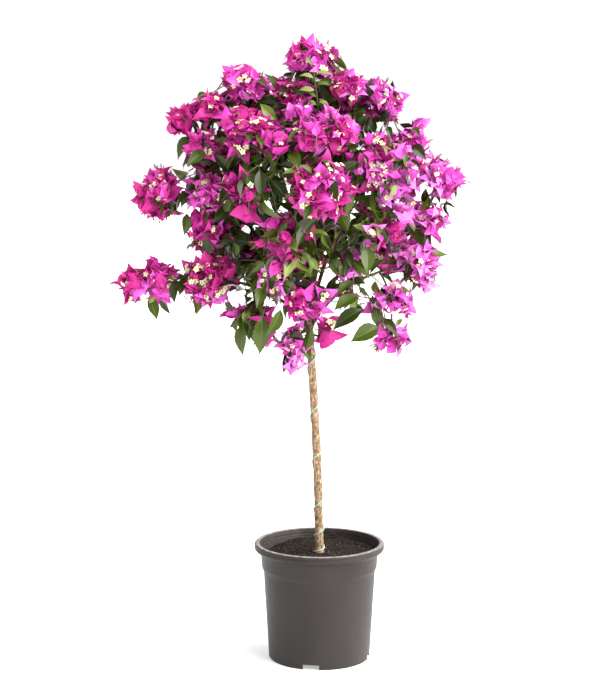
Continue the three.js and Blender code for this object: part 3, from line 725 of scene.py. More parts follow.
mass_corners, mass_faces, mass_of_face = [], [], []
for number, name in enumerate(MASS_NAMES):
    mesh = frame["nodes"][name].data
    mesh.calc_loop_triangles()
    start = len(mass_corners)
    mass_corners += [vertex.co.copy() for vertex in mesh.vertices]
    for triangle in mesh.loop_triangles:
        mass_faces.append(tuple(start + corner for corner in triangle.vertices))
        mass_of_face.append(number)
masses_skin = BVHTree.FromPolygons(mass_corners, mass_faces)


def in_a_mass(place):
    """Whether a place is inside one of the masses."""
    near, normal, _, _ = masses_skin.find_nearest(place)
    return (Vector(place) - near).dot(normal) < 0


def in_open_sky(places, gaps=SKY_GAPS):
    """Whether each place lies in one of the gaps that the eye sees straight through."""
    places = np.asarray(places)
    eye = np.array(EYE)
    share = -eye[1] / (places[:, 1] - eye[1])
    seen = eye + (places - eye) * share[:, None]
    open_sky = np.zeros(len(places), bool)
    for x, z, half_width, half_height in gaps:
        off = ((seen[:, 0] - x) / half_width) ** 2 + ((seen[:, 2] - z) / half_height) ** 2
        open_sky |= off < 1
    return open_sky


def spaced(places, order, spacing):
    """The numbers of the places that are kept so that no two are nearer than their spacing."""
    kept = []
    for number in order:
        here = places[number]
        if kept and np.min(np.linalg.norm(places[kept] - here, axis=1)) < spacing[number]:
            continue
        kept.append(int(number))
    return np.array(kept)


def unit(way):
    """A way made of length one."""
    return way / np.linalg.norm(way)


def nearest_to(place, places):
    """The number of the place that is nearest to another."""
    return int(np.argmin(np.linalg.norm(places - place, axis=1)))


# Places all over the outside of the masses, each with the way out from there.
corner_array = np.array([list(corner) for corner in mass_corners])
triangles = corner_array[np.array(mass_faces)]
edges_across = np.cross(triangles[:, 1] - triangles[:, 0], triangles[:, 2] - triangles[:, 0])
areas = np.linalg.norm(edges_across, axis=1) / 2
normals = edges_across / np.maximum(2 * areas, 1e-12)[:, None]
outer = np.array([not in_a_mass(Vector(middle)) for middle in triangles.mean(axis=1) + 0.006 * normals])
chances = areas * outer
picked = random.choice(len(areas), SKIN_PLACES, p=chances / chances.sum())
first, second = np.sqrt(random.random(len(picked)))[:, None], random.random(len(picked))[:, None]
corner_a, corner_b, corner_c = triangles[picked].transpose(1, 0, 2)
skin_places = (1 - first) * corner_a + first * (1 - second) * corner_b + first * second * corner_c
skin_masses = np.array(mass_of_face)[picked]
middles = np.array([MASS_MIDDLES[name] for name in MASS_NAMES])
from_middle = units(skin_places - middles[skin_masses])
wander = random.normal(0, SKIN_WANDER, skin_places.shape)
skin_ways = units(normals[picked] + SKIN_SPREAD * from_middle + wander)
clear = ~in_open_sky(skin_places)
inward = (np.einsum("ij,ij->i", skin_ways, skin_places - HEAD_MIDDLE) < -0.01) & (skin_ways[:, 2] < 0.35)
patches = np.array([noise.noise(Vector(place) / BLOOM_PATCH) for place in skin_places.tolist()])
patch_rank = np.argsort(np.argsort(patches)) / len(patches)
bloom = np.array([BLOOM_OF.get(MASS_NAMES[number], 1.0) for number in skin_masses])
in_bloom = (patch_rank < bloom) & ~inward & clear

# Leaders, nearest masses first, so that each one starts from what has already grown.
twigs = Heap()
grown_boughs = np.array(growing_points)
to_bough = {name: np.min(np.linalg.norm(grown_boughs - MASS_MIDDLES[name], axis=1)) for name in MASS_NAMES}
for name in sorted(MASS_NAMES, key=to_bough.get):
    end = MASS_MIDDLES[name]
    limbs = np.array(growing_points)
    gaps = np.linalg.norm(limbs - end, axis=1)
    if gaps.min() < 0.004:
        continue
    start = limbs[int(np.argmin(gaps + 0.25 * np.abs(limbs[:, 2] - end[2])))]
    arch = [0, 0, LEADER_ARCH * np.linalg.norm(end - start)]
    middle = (start + end) / 2 + random.normal(0, 0.006, 3) + arch
    grow(twigs, bend(start, middle, end, 10), np.linspace(*LEADER_RADII, 11), 7, BROWN)

# Side shoots to the middle of each spray. Most sprays to the right, and some low down, take pale tints as
# painted light, and the others dark tints as painted shade. Each spray's bracts take their tint from it.
SHADED_SHARES = [0.54, 0.38, 0.08, 0, 0]
SUNNY_SHARES = [0, 0.01, 0.13, 0.50, 0.36]
SUN_FROM = -0.015
SUN_FULL_WITHIN = 0.15
LOW_SUN_BELOW = 0.59
LOW_SUN_RISE = 4.5
limbs = np.array(growing_points)
sprays = spaced(skin_places, random.permutation(len(skin_places)), np.full(len(skin_places), SPRAY_SPACING))
spray_nodes = []
for number in sprays:
    depth = min(SPRAY_DEPTH, 0.7 * np.linalg.norm(skin_places[number] - middles[skin_masses[number]]))
    end = skin_places[number] - depth * skin_ways[number]
    gaps = np.linalg.norm(limbs - end, axis=1)
    start = limbs[int(np.argmin(gaps))]
    middle = (start + end) / 2 + random.normal(0, 0.003, 3)
    if gaps.min() > 0.002:
        tint = GREEN if random.random() < 0.4 else BROWN
        grow(twigs, bend(start, middle, end, 6), np.linspace(*SHOOT_RADII, 7), 6, tint)
    spray_nodes.append(end)
spray_nodes = np.array(spray_nodes)
shaded = random.choice(5, len(spray_nodes), p=SHADED_SHARES)
sunny = random.choice(5, len(spray_nodes), p=SUNNY_SHARES)
sun_across = np.maximum((spray_nodes[:, 0] - SUN_FROM) / SUN_FULL_WITHIN, 0)
towards_sun = sun_across + LOW_SUN_RISE * np.maximum(LOW_SUN_BELOW - spray_nodes[:, 2], 0)
spray_tints = np.where(random.random(len(spray_nodes)) < towards_sun, sunny, shaded)

# Where each group of three bracts sits: its foot, the way that it faces, and its spray. Older groups
# without flowers lie under the outer ones and keep to the darker tints, as painted shade, and one old
# group has turned crimson.
UPWARD_ABOVE = 0.68
UPWARD_LIFT = (0.1, 0.9)
SIDEWAYS_LIFT = (-0.3, 0.6)
GROUP_WANDER = 0.36
GROUP_DEPTHS = (0, 0.010)
BUNCH_DEPTH = 0.008
BUNCH_PATCH = 0.030
WHOLE_SIZES = (0.84, 1.1)
YOUNG_SIZES = (0.5, 0.84)
WHOLE_SHARE = 0.68
PALEST_UNDER = 2
OLD_GROUP_AT = (0.022, -0.045, 0.825)
OLD_TINT = 5
limbs = np.array(growing_points)
bloom_places = np.flatnonzero(in_bloom)
group_spacing = np.array([OPEN_SPRAYS.get(MASS_NAMES[number], FLOWER_SPACING) for number in skin_masses])
open_spray = group_spacing > FLOWER_SPACING
outer_groups = spaced(skin_places, random.permutation(bloom_places), group_spacing)
under_places = bloom_places[~open_spray[bloom_places]]
under_spacing = np.full(len(skin_places), UNDER_SPACING)
under_groups = spaced(skin_places, random.permutation(under_places), under_spacing)
group_feet, group_ways, group_tints, group_sizes, group_under = [], [], [], [], []
for number, under in [(n, False) for n in outer_groups] + [(n, True) for n in under_groups]:
    lift = random.uniform(*(UPWARD_LIFT if skin_places[number, 2] > UPWARD_ABOVE else SIDEWAYS_LIFT))
    way = unit(skin_ways[number] + [0, 0, lift] + random.normal(0, GROUP_WANDER, 3))
    size = random.uniform(*(WHOLE_SIZES if under or random.random() < WHOLE_SHARE else YOUNG_SIZES))
    bunch = BUNCH_DEPTH * noise.noise(Vector(skin_places[number]) / BUNCH_PATCH + Vector((7, 3, 5)))
    deeper = random.uniform(*GROUP_DEPTHS) + bunch + UNDER_DEPTH * under
    foot = skin_places[number] - FLOWER_DEPTH * size * way - deeper * skin_ways[number]
    along_group = [foot, foot + 0.6 * FLOWER_DEPTH * way, foot + 1.2 * FLOWER_DEPTH * way]
    in_shoot_room = foot[1] < 0 and in_open_sky(along_group, ROOM_FOR_YOUNG_SHOOT).any()
    if in_open_sky(along_group).any() or in_shoot_room:
        continue
    spray = nearest_to(foot, spray_nodes)
    start = spray_nodes[spray]
    gap = np.linalg.norm(foot - start)
    if gap > FLOWER_STALK_REACH:
        start = limbs[nearest_to(foot, limbs)]
        gap = np.linalg.norm(foot - start)
    middle = (start + foot) / 2 + 0.18 * gap * way
    grow(twigs, bend(start, middle, foot, 3), np.linspace(*FLOWER_STALK_RADII, 4), 4, GREEN)
    group_feet.append(foot)
    group_ways.append(way)
    # Groups under the outer ones are held to the darker tints: painted shade.
    group_tints.append(min(spray_tints[spray], PALEST_UNDER) if under else spray_tints[spray])
    group_sizes.append(size)
    group_under.append(under)
group_tints[nearest_to(OLD_GROUP_AT, np.array(group_feet))] = OLD_TINT

# Leafy shoots. Each carries its leaves along its outer part, every leaf two fifths of a turn round from
# the last, on a short stalk of its own, and hanging a little. The first leaves at the tip are small.
LEAF_TURN = 0.4 * math.tau
LEAF_STEP = 0.0115
LEAF_STALK = 0.007
LEAF_STALK_RADII = [0.0005, 0.00045, 0.0004]
LEAFY_SHOOT_RADII = (0.0009, 0.0005)
SIZES_FROM_TIP = (0.62, 0.82, 1, 1, 1, 1)
leaf_feet, leaf_ways, leaf_faces, leaf_lengths, leaf_tints = [], [], [], [], []


def place_along(reach, along, points):
    """The place on a line of points at a distance, a height or any other measure that rises along it."""
    return np.array([np.interp(reach, along, points[:, axis]) for axis in range(3)])


def list_leaf(foot, way, face, length, tint):
    """Lists a leaf by its foot, the way that it points, the way that it faces, its length and its tint."""
    for values, value in zip((leaf_feet, leaf_ways, leaf_faces, leaf_lengths, leaf_tints),
                             (foot, way, face, length, tint)):
        values.append(value)


def outside_by(place):
    """How far a place is outside the masses, below nothing where it is inside."""
    near, normal, _, distance = masses_skin.find_nearest(Vector(place))
    return distance if (Vector(place) - near).dot(normal) > 0 else -distance


def leafy_shoot(end, way, out, length, leaf_total, leaf_length, tint_chances, furthest):
    """Grows a shoot to a place from the nearest limb, and lists its leaves, which turn to the light."""
    limbs = np.array(growing_points)
    root = end - length * way
    start = limbs[nearest_to(root, limbs)]
    gap = np.linalg.norm(end - start)
    middle = (start + end) / 2 + 0.18 * gap * (way + [0, 0, 0.5])
    points = bend(start, middle, end, 6)
    leaf_length = leaf_length * random.uniform(0.75, 1.05)
    along = np.concatenate([[0], np.cumsum(np.linalg.norm(np.diff(points, axis=0), axis=1))])
    turn = random.uniform(0, math.tau)
    leaf_before = len(leaf_feet)
    for number in range(leaf_total):
        reach = along[-1] - LEAF_STEP * number * random.uniform(0.85, 1.15)
        if reach < 0.2 * along[-1]:
            break
        node = place_along(reach, along, points)
        ahead = points[min(int(np.searchsorted(along, reach)), 6)] - points[0]
        ahead = ahead / (np.linalg.norm(ahead) + 1e-9)
        level = unit(np.cross(ahead, [0.02, 0.01, 1]))
        side = math.cos(turn) * level + math.sin(turn) * np.cross(level, ahead)
        turn += LEAF_TURN + random.normal(0, 0.25)
        lean = 0.9 if number == 0 else random.uniform(0.15, 0.55)
        leaf_way = unit(lean * ahead + (1 - 0.5 * lean) * side - [0, 0, random.uniform(0.1, 0.75)])
        size = leaf_length * random.uniform(0.85, 1.12) * SIZES_FROM_TIP[number]
        foot = node + LEAF_STALK * (0.6 * side + 0.4 * leaf_way)
        if in_open_sky([foot, foot + 0.5 * size * leaf_way, foot + size * leaf_way]).any():
            continue
        if outside_by(foot + 0.8 * size * leaf_way) > furthest:
            continue
        stalk_middle = (node + foot) / 2 + [0, 0, 0.0007]
        grow(twigs, np.array([node, stalk_middle, foot]), LEAF_STALK_RADII, 3, GREEN)
        face = 0.7 * out + [0, 0, 0.7] + random.normal(0, 0.4, 3)
        list_leaf(foot, leaf_way, face, size, int(random.choice(5, p=tint_chances)))
    if len(leaf_feet) > leaf_before:
        tint = GREEN if random.random() < 0.7 else BROWN
        grow(twigs, points, np.linspace(*LEAFY_SHOOT_RADII, 7), 4, tint)


# Leaf greens by place: the darkest shares go deep in the head and in its hollows, as painted shade, and
# paler ones to the right, as painted light.
OUTER_TINTS = [0.24, 0.35, 0.24, 0.12, 0.05]
SUNNY_TINTS = [0.13, 0.27, 0.30, 0.20, 0.10]
INNER_TINTS = [0.60, 0.31, 0.08, 0.01, 0]
SUNNY_RIGHT_OF = 0.07
OUTER_LEAF = 0.043
SUNNY_LEAF = 0.036
HOLLOWS = ("front_left", "left_lower")
HOLLOW_DEPTH = 0.018
CORE_MIDDLE = HEAD_MIDDLE + [0, 0, 0.03]
CORE_REACH = [0.175, 0.115, 0.135]
CORE_SPACING = 0.024
LEAFY_SPACING = 0.031
PARTLY_IN_FLOWER_SPACING = 0.056
ALL_IN_FLOWER_SPACING = 0.080
leafy = ~in_bloom & clear

# For each kind of place that a shoot grows at: how deep its end is under the outside, how far its leaves
# may come out, and the shares of its tints.
SHOOTS = {
    "core": ((-0.024, 0.010), 0.05, INNER_TINTS),
    "underside": ((0.012, 0.024), 0.004, INNER_TINTS),
    "leafy": ((0.012, 0.024), 0.012, OUTER_TINTS),
    "flowering": ((0.026, 0.042), 0.003, OUTER_TINTS),
}


def near_core(places):
    """Whether each place is in the rounded core of the head, between its masses or inside them."""
    return np.linalg.norm((places - CORE_MIDDLE) / CORE_REACH, axis=-1) < 1


in_core = near_core(skin_places)
shoot_spacing = np.select([inward & in_core, leafy, bloom < 1],
                          [CORE_SPACING, LEAFY_SPACING, PARTLY_IN_FLOWER_SPACING], ALL_IN_FLOWER_SPACING)
for number in spaced(skin_places, random.permutation(np.flatnonzero(clear)), shoot_spacing):
    way = unit(skin_ways[number] + [0, 0, random.uniform(-0.7, 0.4)] + random.normal(0, 0.35, 3))
    out = skin_ways[number]
    kind = "leafy" if leafy[number] else "flowering"
    if inward[number]:
        kind = "core" if in_core[number] else "underside"
    depths, furthest, tint_chances = SHOOTS[kind]
    depth = random.uniform(*depths)
    # Shoots in the hollows sit deeper and take the darkest greens, as painted shade.
    if kind == "leafy" and MASS_NAMES[skin_masses[number]] in HOLLOWS:
        depth, tint_chances = depth + HOLLOW_DEPTH, INNER_TINTS
    end = skin_places[number] - depth * out
    length, leaf_total, leaf_length = random.uniform(0.035, 0.06), int(random.integers(4, 7)), OUTER_LEAF
    # Outer leaves to the right are smaller and take paler greens, the paler greens as painted light.
    if tint_chances is OUTER_TINTS and skin_places[number, 0] > SUNNY_RIGHT_OF:
        tint_chances, leaf_length = SUNNY_TINTS, SUNNY_LEAF
    leafy_shoot(end, way, out, length, leaf_total, leaf_length, tint_chances, furthest)

# Leaves deep in the head, which close it, and on the lower parts of the boughs.
INNER_DEPTHS = (0.035, 0.095)
INNER_SPACING = 0.029
LOW_BOUGHS = (0.55, 0.66)
LOW_SPACING = 0.016
LOW_LENGTHS = (0.02, 0.04)
inner_places = skin_places - random.uniform(*INNER_DEPTHS, len(skin_places))[:, None] * skin_ways
inside = np.array([in_a_mass(Vector(place)) for place in inner_places]) & ~in_open_sky(inner_places)
inner_order = random.permutation(np.flatnonzero(inside))
for number in spaced(inner_places, inner_order, np.full(len(inside), INNER_SPACING)):
    way = unit(random.normal(0, 1, 3))
    leafy_shoot(inner_places[number], way, skin_ways[number], length=0.03,
                leaf_total=int(random.integers(3, 6)), leaf_length=0.046, tint_chances=INNER_TINTS,
                furthest=0.004)
low_places = grown_boughs[(grown_boughs[:, 2] > LOW_BOUGHS[0]) & (grown_boughs[:, 2] < LOW_BOUGHS[1])]
low_spacing = np.full(len(low_places), LOW_SPACING)
for number in spaced(low_places, random.permutation(len(low_places)), low_spacing):
    way = unit(random.normal(0, 0.6, 3) + [0, -0.2, -0.2])
    end = low_places[number] + random.uniform(*LOW_LENGTHS) * way
    leafy_shoot(end, way, way, length=0.02, leaf_total=int(random.integers(3, 6)), leaf_length=0.042,
                tint_chances=INNER_TINTS, furthest=0.02)

# Shoots that grow wherever light would still fall straight through the crown: from above, from the sides
# and from behind, but not from the front, where the gaps are real.
LIGHT_FROM = [(0, 90), (20, 60), (90, 60), (150, 60), (210, 60), (270, 60), (335, 60), (90, 10), (120, 10),
              (150, 10), (180, 10), (210, 10), (240, 10), (270, 10)]
LIGHT_CELL = 0.013
LIGHT_CELLS = 160
MIDDLE_CELL = 60
ENOUGH_COVER = 3
GROUP_SPOTS = 12
GROUP_SPREAD = 0.009
GROUP_AHEAD = 0.02
LEAF_SPOTS = 7
ROOM_PLACES = 45000
lowest_corner, highest_corner = corner_array.min(axis=0), corner_array.max(axis=0)
room_places = random.uniform(lowest_corner, highest_corner, (ROOM_PLACES, 3))
in_head = np.array([in_a_mass(Vector(place)) for place in room_places.tolist()]) | near_core(room_places)
room_places = room_places[in_head & ~in_open_sky(room_places)]
around = random.normal(0, GROUP_SPREAD, (GROUP_SPOTS, 1, 3)) + GROUP_AHEAD * np.array(group_ways)[None]
group_cover = (np.array(group_feet)[None] + around).reshape(-1, 3)


def cells(places, across, up):
    """The cell that each place falls in, on a grid set square to the light."""
    flat = np.column_stack([places @ across, places @ up])
    return np.floor(flat / LIGHT_CELL).astype(int) + MIDDLE_CELL


for azimuth, elevation in LIGHT_FROM:
    turn, climb = math.radians(azimuth), math.radians(elevation)
    light = np.array([math.sin(turn) * math.cos(climb), -math.cos(turn) * math.cos(climb), math.sin(climb)])
    across = np.array([math.cos(turn), math.sin(turn), 0])
    up = np.cross(light, across)
    whole_leaves = np.array(leaf_lengths)[:, None] * np.array(leaf_ways)
    along_leaves = np.linspace(0.1, 0.9, LEAF_SPOTS)[:, None, None] * whole_leaves[None]
    cover = np.concatenate([group_cover, (np.array(leaf_feet)[None] + along_leaves).reshape(-1, 3)])
    cover_counts = np.zeros((LIGHT_CELLS, LIGHT_CELLS), int)
    np.add.at(cover_counts, tuple(cells(cover, across, up).T), 1)
    room = np.zeros((LIGHT_CELLS, LIGHT_CELLS), bool)
    room_cells = cells(room_places, across, up)
    room[tuple(room_cells.T)] = True
    inner = room.copy()
    for shift in ((0, 1), (0, -1), (1, 0), (-1, 0)):
        inner &= np.roll(room, shift, (0, 1))
    for column, row in random.permutation(np.argwhere(inner & (cover_counts <= ENOUGH_COVER))):
        here = np.flatnonzero((room_cells == (column, row)).all(axis=1))
        from_outside = here[np.argsort(-(room_places[here] @ light))]
        end = room_places[from_outside[min(2, len(here) - 1)]]
        way = unit(light + random.normal(0, 0.5, 3))
        leafy_shoot(end, way, light, length=0.03, leaf_total=int(random.integers(3, 6)), leaf_length=0.040,
                    tint_chances=INNER_TINTS, furthest=0.03 if near_core(end) else 0.004)

# Single leaves that hang clear of the head against the light: where each one's foot is, where its tip
# comes to, seen from the front, and its length.
HANGING_LEAVES = [
    ((0.015, -0.05, 0.596), (0.030, 0.568), 0.036),
    ((0.046, -0.06, 0.562), (0.024, 0.548), 0.034),
    ((0.052, -0.07, 0.543), (0.019, 0.525), 0.042),
    ((0.059, -0.06, 0.521), (0.015, 0.505), 0.050),
    ((0.084, -0.03, 0.493), (0.043, 0.477), 0.048),
    ((0.063, -0.09, 0.614), (0.069, 0.576), 0.042),
    ((0.161, 0.0, 0.625), (0.174, 0.615), 0.024),
    ((0.092, -0.03, 0.505), (0.109, 0.489), 0.030),
    ((0.114, -0.02, 0.480), (0.112, 0.463), 0.026),
    ((0.096, 0.0, 0.777), (0.101, 0.764), 0.022),
    ((-0.110, -0.04, 0.497), (-0.115, 0.458), 0.044),
    ((-0.082, -0.07, 0.511), (-0.082, 0.463), 0.052),
    ((-0.056, -0.08, 0.523), (-0.070, 0.487), 0.044),
    ((-0.081, -0.09, 0.554), (-0.088, 0.534), 0.036),
    ((-0.185, 0.0, 0.762), (-0.208, 0.741), 0.036),
    ((-0.244, -0.01, 0.534), (-0.234, 0.502), 0.036),
    ((-0.206, -0.02, 0.560), (-0.209, 0.529), 0.036),
    ((-0.196, -0.01, 0.561), (-0.198, 0.538), 0.030),
    ((-0.189, -0.02, 0.654), (-0.191, 0.627), 0.032),
]
HANGING_STALK_RADII = (0.0008, 0.0005)
for foot, (tip_x, tip_z), length in HANGING_LEAVES:
    foot = np.array(foot)
    aside, down = tip_x - foot[0], tip_z - foot[2]
    forward = math.sqrt(max(length**2 - aside**2 - down**2, 0))
    limbs = np.array(growing_points)
    above = limbs[nearest_to(foot + [0, 0, 0.01], limbs)]
    middle = (above + foot) / 2 + [0, 0, 0.006]
    grow(twigs, bend(above, middle, foot, 6), np.linspace(*HANGING_STALK_RADII, 7), 5, GREEN)
    way = np.array([aside, -forward, down]) / length
    face = np.array([random.normal(0, 0.25), -1, 0.55])
    list_leaf(foot, way, face, length, int(random.choice([0, 1, 1])))

# A young shoot that stands free in the front of the spire: its line, and its small pale leaves, each with
# its height, its side, how far it points forward and up, and its length.
YOUNG_SHOOT = np.array([
    [0.002, -0.004, 0.778], [-0.0028, -0.037, 0.803], [-0.007, -0.047, 0.838], [-0.011, -0.044, 0.868],
])
YOUNG_LEAVES = [
    (0.803, 1, 0.6, 0.5, 0.015), (0.806, -1, 0.5, 0.7, 0.016), (0.812, 1, 0.2, -0.1, 0.017),
    (0.817, -1, 0.5, 0.9, 0.014), (0.828, -1, 0.35, -0.1, 0.022), (0.834, 1, 0.6, 0.35, 0.019),
    (0.843, -1, 0.2, 0.45, 0.021), (0.849, 1, 0.3, 0.15, 0.024), (0.862, -1, 0.3, 1.3, 0.013),
]
YOUNG_SHOOT_RADII = [0.0011, 0.0010, 0.0008, 0.0005]
PALE_FROM = 0.0155
PALEST_FROM = 0.0205
grow(twigs, YOUNG_SHOOT, YOUNG_SHOOT_RADII, 6, GREEN)
for height, side, forward, climb, length in YOUNG_LEAVES:
    node = place_along(height, YOUNG_SHOOT[:, 2], YOUNG_SHOOT)
    way = np.array([side, -forward, climb])
    tint = 2 + (length > PALE_FROM) + (length > PALEST_FROM)
    list_leaf(node + 0.002 * way, unit(way), np.array([0, -0.8, 0.8]), length, tint)
twig_brown = plain_material("twig_brown", (0.085, 0.055, 0.026), 0.7)
twig_green = plain_material("twig_green", (0.10, 0.135, 0.035), 0.6)
twig_piece = twigs.joined("twigs", [twig_brown, twig_green])
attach(twig_piece, "root")


# The leaves: oval and glossy with a long drawn-out tip, folded a little along a paler midrib, and
# hanging from short stalks. They are dealt out in five greens, from old and dark to young and pale; the
# darkest also go deep in the head and in its hollows, as painted shade, and more pale ones to the right,
# as painted light.
LEAF_OUTLINE = [(0, 0.08), (0.10, 0.44), (0.25, 0.84), (0.42, 1), (0.60, 0.90), (0.78, 0.54), (0.91, 0.19),
                (1, 0.02)]
LEAF_COLUMNS = [-1, -0.55, -0.035, 0.035, 0.55, 1]
LEAF_WIDTHS = (0.40, 0.52)
LEAF_DROOPS = (0.15, 0.6)
LEAF_FOLDS = (0.25, 0.75)
LEAF_SWAY = 0.07
LEAF_GREENS = [(0.022, 0.035, 0.003), (0.054, 0.084, 0.006), (0.092, 0.138, 0.011), (0.148, 0.205, 0.019),
               (0.25, 0.30, 0.068)]
MIDRIB_GREENS = [(0.07, 0.10, 0.014), (0.11, 0.155, 0.022), (0.17, 0.23, 0.035), (0.25, 0.31, 0.06),
                 (0.36, 0.42, 0.14)]


def bases(ways, turns):
    """For each piece a way across, a way of its face, and its own way: three directions at right angles."""
    ways = units(ways)
    level = units(np.cross(ways, np.array([0, 0, 1.0])) + [1e-4, 0, 0])
    face = np.cross(level, ways)
    cos, sin = np.cos(turns)[:, None], np.sin(turns)[:, None]
    return level * cos + face * sin, face * cos - level * sin, ways


def turns_towards(ways, hints):
    """How far each piece is turned about its own way, so that its face looks as near as it can to a hint."""
    level, face, _ = bases(ways, np.zeros(len(ways)))
    return np.arctan2(-np.einsum("ij,ij->i", level, hints), np.einsum("ij,ij->i", face, hints))


def blades(feet, frames, sizes, outline, columns, shape):
    """The corners of many blades at once, from their feet, frames and sizes, and the outline of one."""
    across, face, way = frames
    along, half_widths = np.array(outline).T
    columns = np.array(columns)
    half = half_widths[None, :, None] * (sizes[:, 1] / 2)[:, None, None]
    aside, ahead, rise = shape(along[None, :, None], columns[None, None, :], half, sizes)
    side = columns[None, None, :] * half + aside
    corners = feet[:, None, None] + across[:, None, None] * side[..., None]
    corners = corners + way[:, None, None] * ahead[..., None] + face[:, None, None] * rise[..., None]
    return corners.reshape(len(feet), -1, 3)


def blades_piece(name, corners, width, tints, materials):
    """One mesh from many like blades, from their corners in rows of one width, and the tint of each face."""
    rows = corners.shape[1] // width
    starts = np.array([row * width + column for row in range(rows - 1) for column in range(width - 1)])
    one_blade = starts[:, None] + [0, 1, 1 + width, width]
    faces = one_blade[None] + (np.arange(len(corners)) * corners.shape[1])[:, None, None]
    return joined_piece(name, corners.reshape(-1, 3), faces.reshape(-1, 4), tints.reshape(-1), materials)


def leaf_shape(t, c, half, sizes):
    """How far aside, ahead and up each corner of a leaf lies: folded at the midrib, with a drooping tip."""
    length, _, droop, fold, wave, sway = (size[:, None, None] for size in sizes.T)
    aside = sway * length * t**2
    ahead = length * (t - 0.18 * droop * t**3)
    ripple = 0.10 * half * np.abs(c) * np.sin(9 * t + wave)
    rise = length * (0.10 * t - droop * t**2) + fold * half * np.abs(c) + ripple
    return aside + 0 * c, ahead + 0 * c, rise


leaf_count = len(leaf_feet)
leaf_sizes = np.column_stack([
    np.array(leaf_lengths),
    np.array(leaf_lengths) * random.uniform(*LEAF_WIDTHS, leaf_count),
    random.uniform(*LEAF_DROOPS, leaf_count),
    random.uniform(*LEAF_FOLDS, leaf_count),
    random.uniform(0, math.tau, leaf_count),
    random.normal(0, LEAF_SWAY, leaf_count),
])
leaf_feet, leaf_ways, leaf_tints = np.array(leaf_feet), np.array(leaf_ways), np.array(leaf_tints)
leaf_turns = turns_towards(leaf_ways, np.array(leaf_faces)) + random.normal(0, 0.2, leaf_count)
leaf_frames = bases(leaf_ways, leaf_turns)
leaf_corners = blades(leaf_feet, leaf_frames, leaf_sizes, LEAF_OUTLINE, LEAF_COLUMNS, leaf_shape)
midrib = np.tile([False, False, True, False, False], len(LEAF_OUTLINE) - 1)
leaf_materials = [plain_material(f"leaf_green_{i}", green, 0.30, Specular_IOR_Level=0.36)
                  for i, green in enumerate(LEAF_GREENS)]
leaf_materials += [plain_material(f"midrib_green_{i}", green, 0.5) for i, green in enumerate(MIDRIB_GREENS)]
leaf_behind = leaf_feet[:, 1] > 0
for name, behind in (("leaves_front", False), ("leaves_back", True)):
    chosen = leaf_behind == behind
    tints = leaf_tints[chosen][:, None] + len(LEAF_GREENS) * midrib[None]
    leaves = blades_piece(name, leaf_corners[chosen], len(LEAF_COLUMNS), tints, leaf_materials)
    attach(leaves, "root")
    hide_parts(*[mass for mass in sorted(LEAFY) if (MASS_MIDDLES[mass][1] > 0) == behind])


# The bracts: three papery, pointed, heart-shaped bracts to a group, which open like a lantern. Each is
# creased along its midrib and curls out at its tip. The sprays are dealt out in five magentas, and the
# one old group is crimson, the last colour.
BRACT_OUTLINE = [(0, 0.20), (0.10, 0.73), (0.30, 1), (0.54, 0.89), (0.78, 0.48), (1, 0.02)]
BRACT_COLUMNS = [-1, -0.5, -0.05, 0.05, 0.5, 1]
BRACT_LENGTH = 0.0268
BRACT_WIDTHS = (0.66, 0.88)
BRACT_CURLS = (0.1, 1.5)
BRACT_CUPS = (0.25, 0.75)
BRACT_SWAY = 0.08
CLOSED_SHARE = 0.55
CLOSED_OPENINGS = (0.12, 0.40)
OPEN_OPENINGS = (0.40, 0.80)
SMALL_GROUP = 0.7
SMALL_GROUP_OPENING = 0.6
FRONT_AND_BACK_FROM = (-0.04, 0.04)
MAGENTAS = [(0.54, 0.024, 0.24), (0.66, 0.048, 0.385), (0.75, 0.095, 0.54), (0.81, 0.165, 0.67),
            (0.88, 0.26, 0.74), (0.50, 0.045, 0.18)]


def bract_shape(t, c, half, sizes):
    """How far aside, up and out each corner of a bract lies: a curved, cupped, crumpled sheet."""
    length, _, opening, curl, cup, wave, sway = (size[:, None, None] for size in sizes.T)
    lean = opening + curl * (t - 0.25) ** 2 * np.sign(t - 0.25)
    ahead = length * t * np.cos(lean)
    out = length * t * np.sin(lean) + 0.0016 + 0.05 * length * np.sin(np.pi * t)
    crumple = 0.09 * np.sin(12 * t + 3 * c + wave) + 0.22 * np.abs(c) * np.sin(9 * t + 2.2 * wave + 2 * c)
    fold = cup * half * np.abs(c) ** 1.4 + crumple * half
    return sway * length * t**2 + 0 * c, ahead + 0.25 * fold, out - fold


group_count = len(group_feet)
group_ways = np.array(group_ways)
group_feet = np.array(group_feet)
group_turns = random.uniform(0, math.tau, group_count)
group_sizes = np.array(group_sizes)
group_closed = random.random(group_count) < CLOSED_SHARE
closed_openings = random.uniform(*CLOSED_OPENINGS, group_count)
open_openings = random.uniform(*OPEN_OPENINGS, group_count)
group_openings = np.where(group_closed, closed_openings, open_openings)
group_openings = group_openings * np.where(group_sizes < SMALL_GROUP, SMALL_GROUP_OPENING, 1)
bract_feet = np.repeat(group_feet, 3, axis=0)
bract_ways = np.repeat(group_ways, 3, axis=0)
bract_turns = np.repeat(group_turns, 3) + np.tile([0, math.tau / 3, 2 * math.tau / 3], group_count)
bract_turns = bract_turns + random.normal(0, 0.12, 3 * group_count)
bract_count = len(bract_feet)
bract_lengths = BRACT_LENGTH * np.repeat(group_sizes, 3) * random.normal(1, 0.06, bract_count)
bract_sizes = np.column_stack([
    bract_lengths,
    bract_lengths * random.uniform(*BRACT_WIDTHS, bract_count),
    np.repeat(group_openings, 3) + random.normal(0, 0.09, bract_count),
    random.uniform(*BRACT_CURLS, bract_count),
    random.uniform(*BRACT_CUPS, bract_count),
    random.uniform(0, math.tau, bract_count),
    random.normal(0, BRACT_SWAY, bract_count),
])
bract_frames = bases(bract_ways, bract_turns)
bract_corners = blades(bract_feet, bract_frames, bract_sizes, BRACT_OUTLINE, BRACT_COLUMNS, bract_shape)
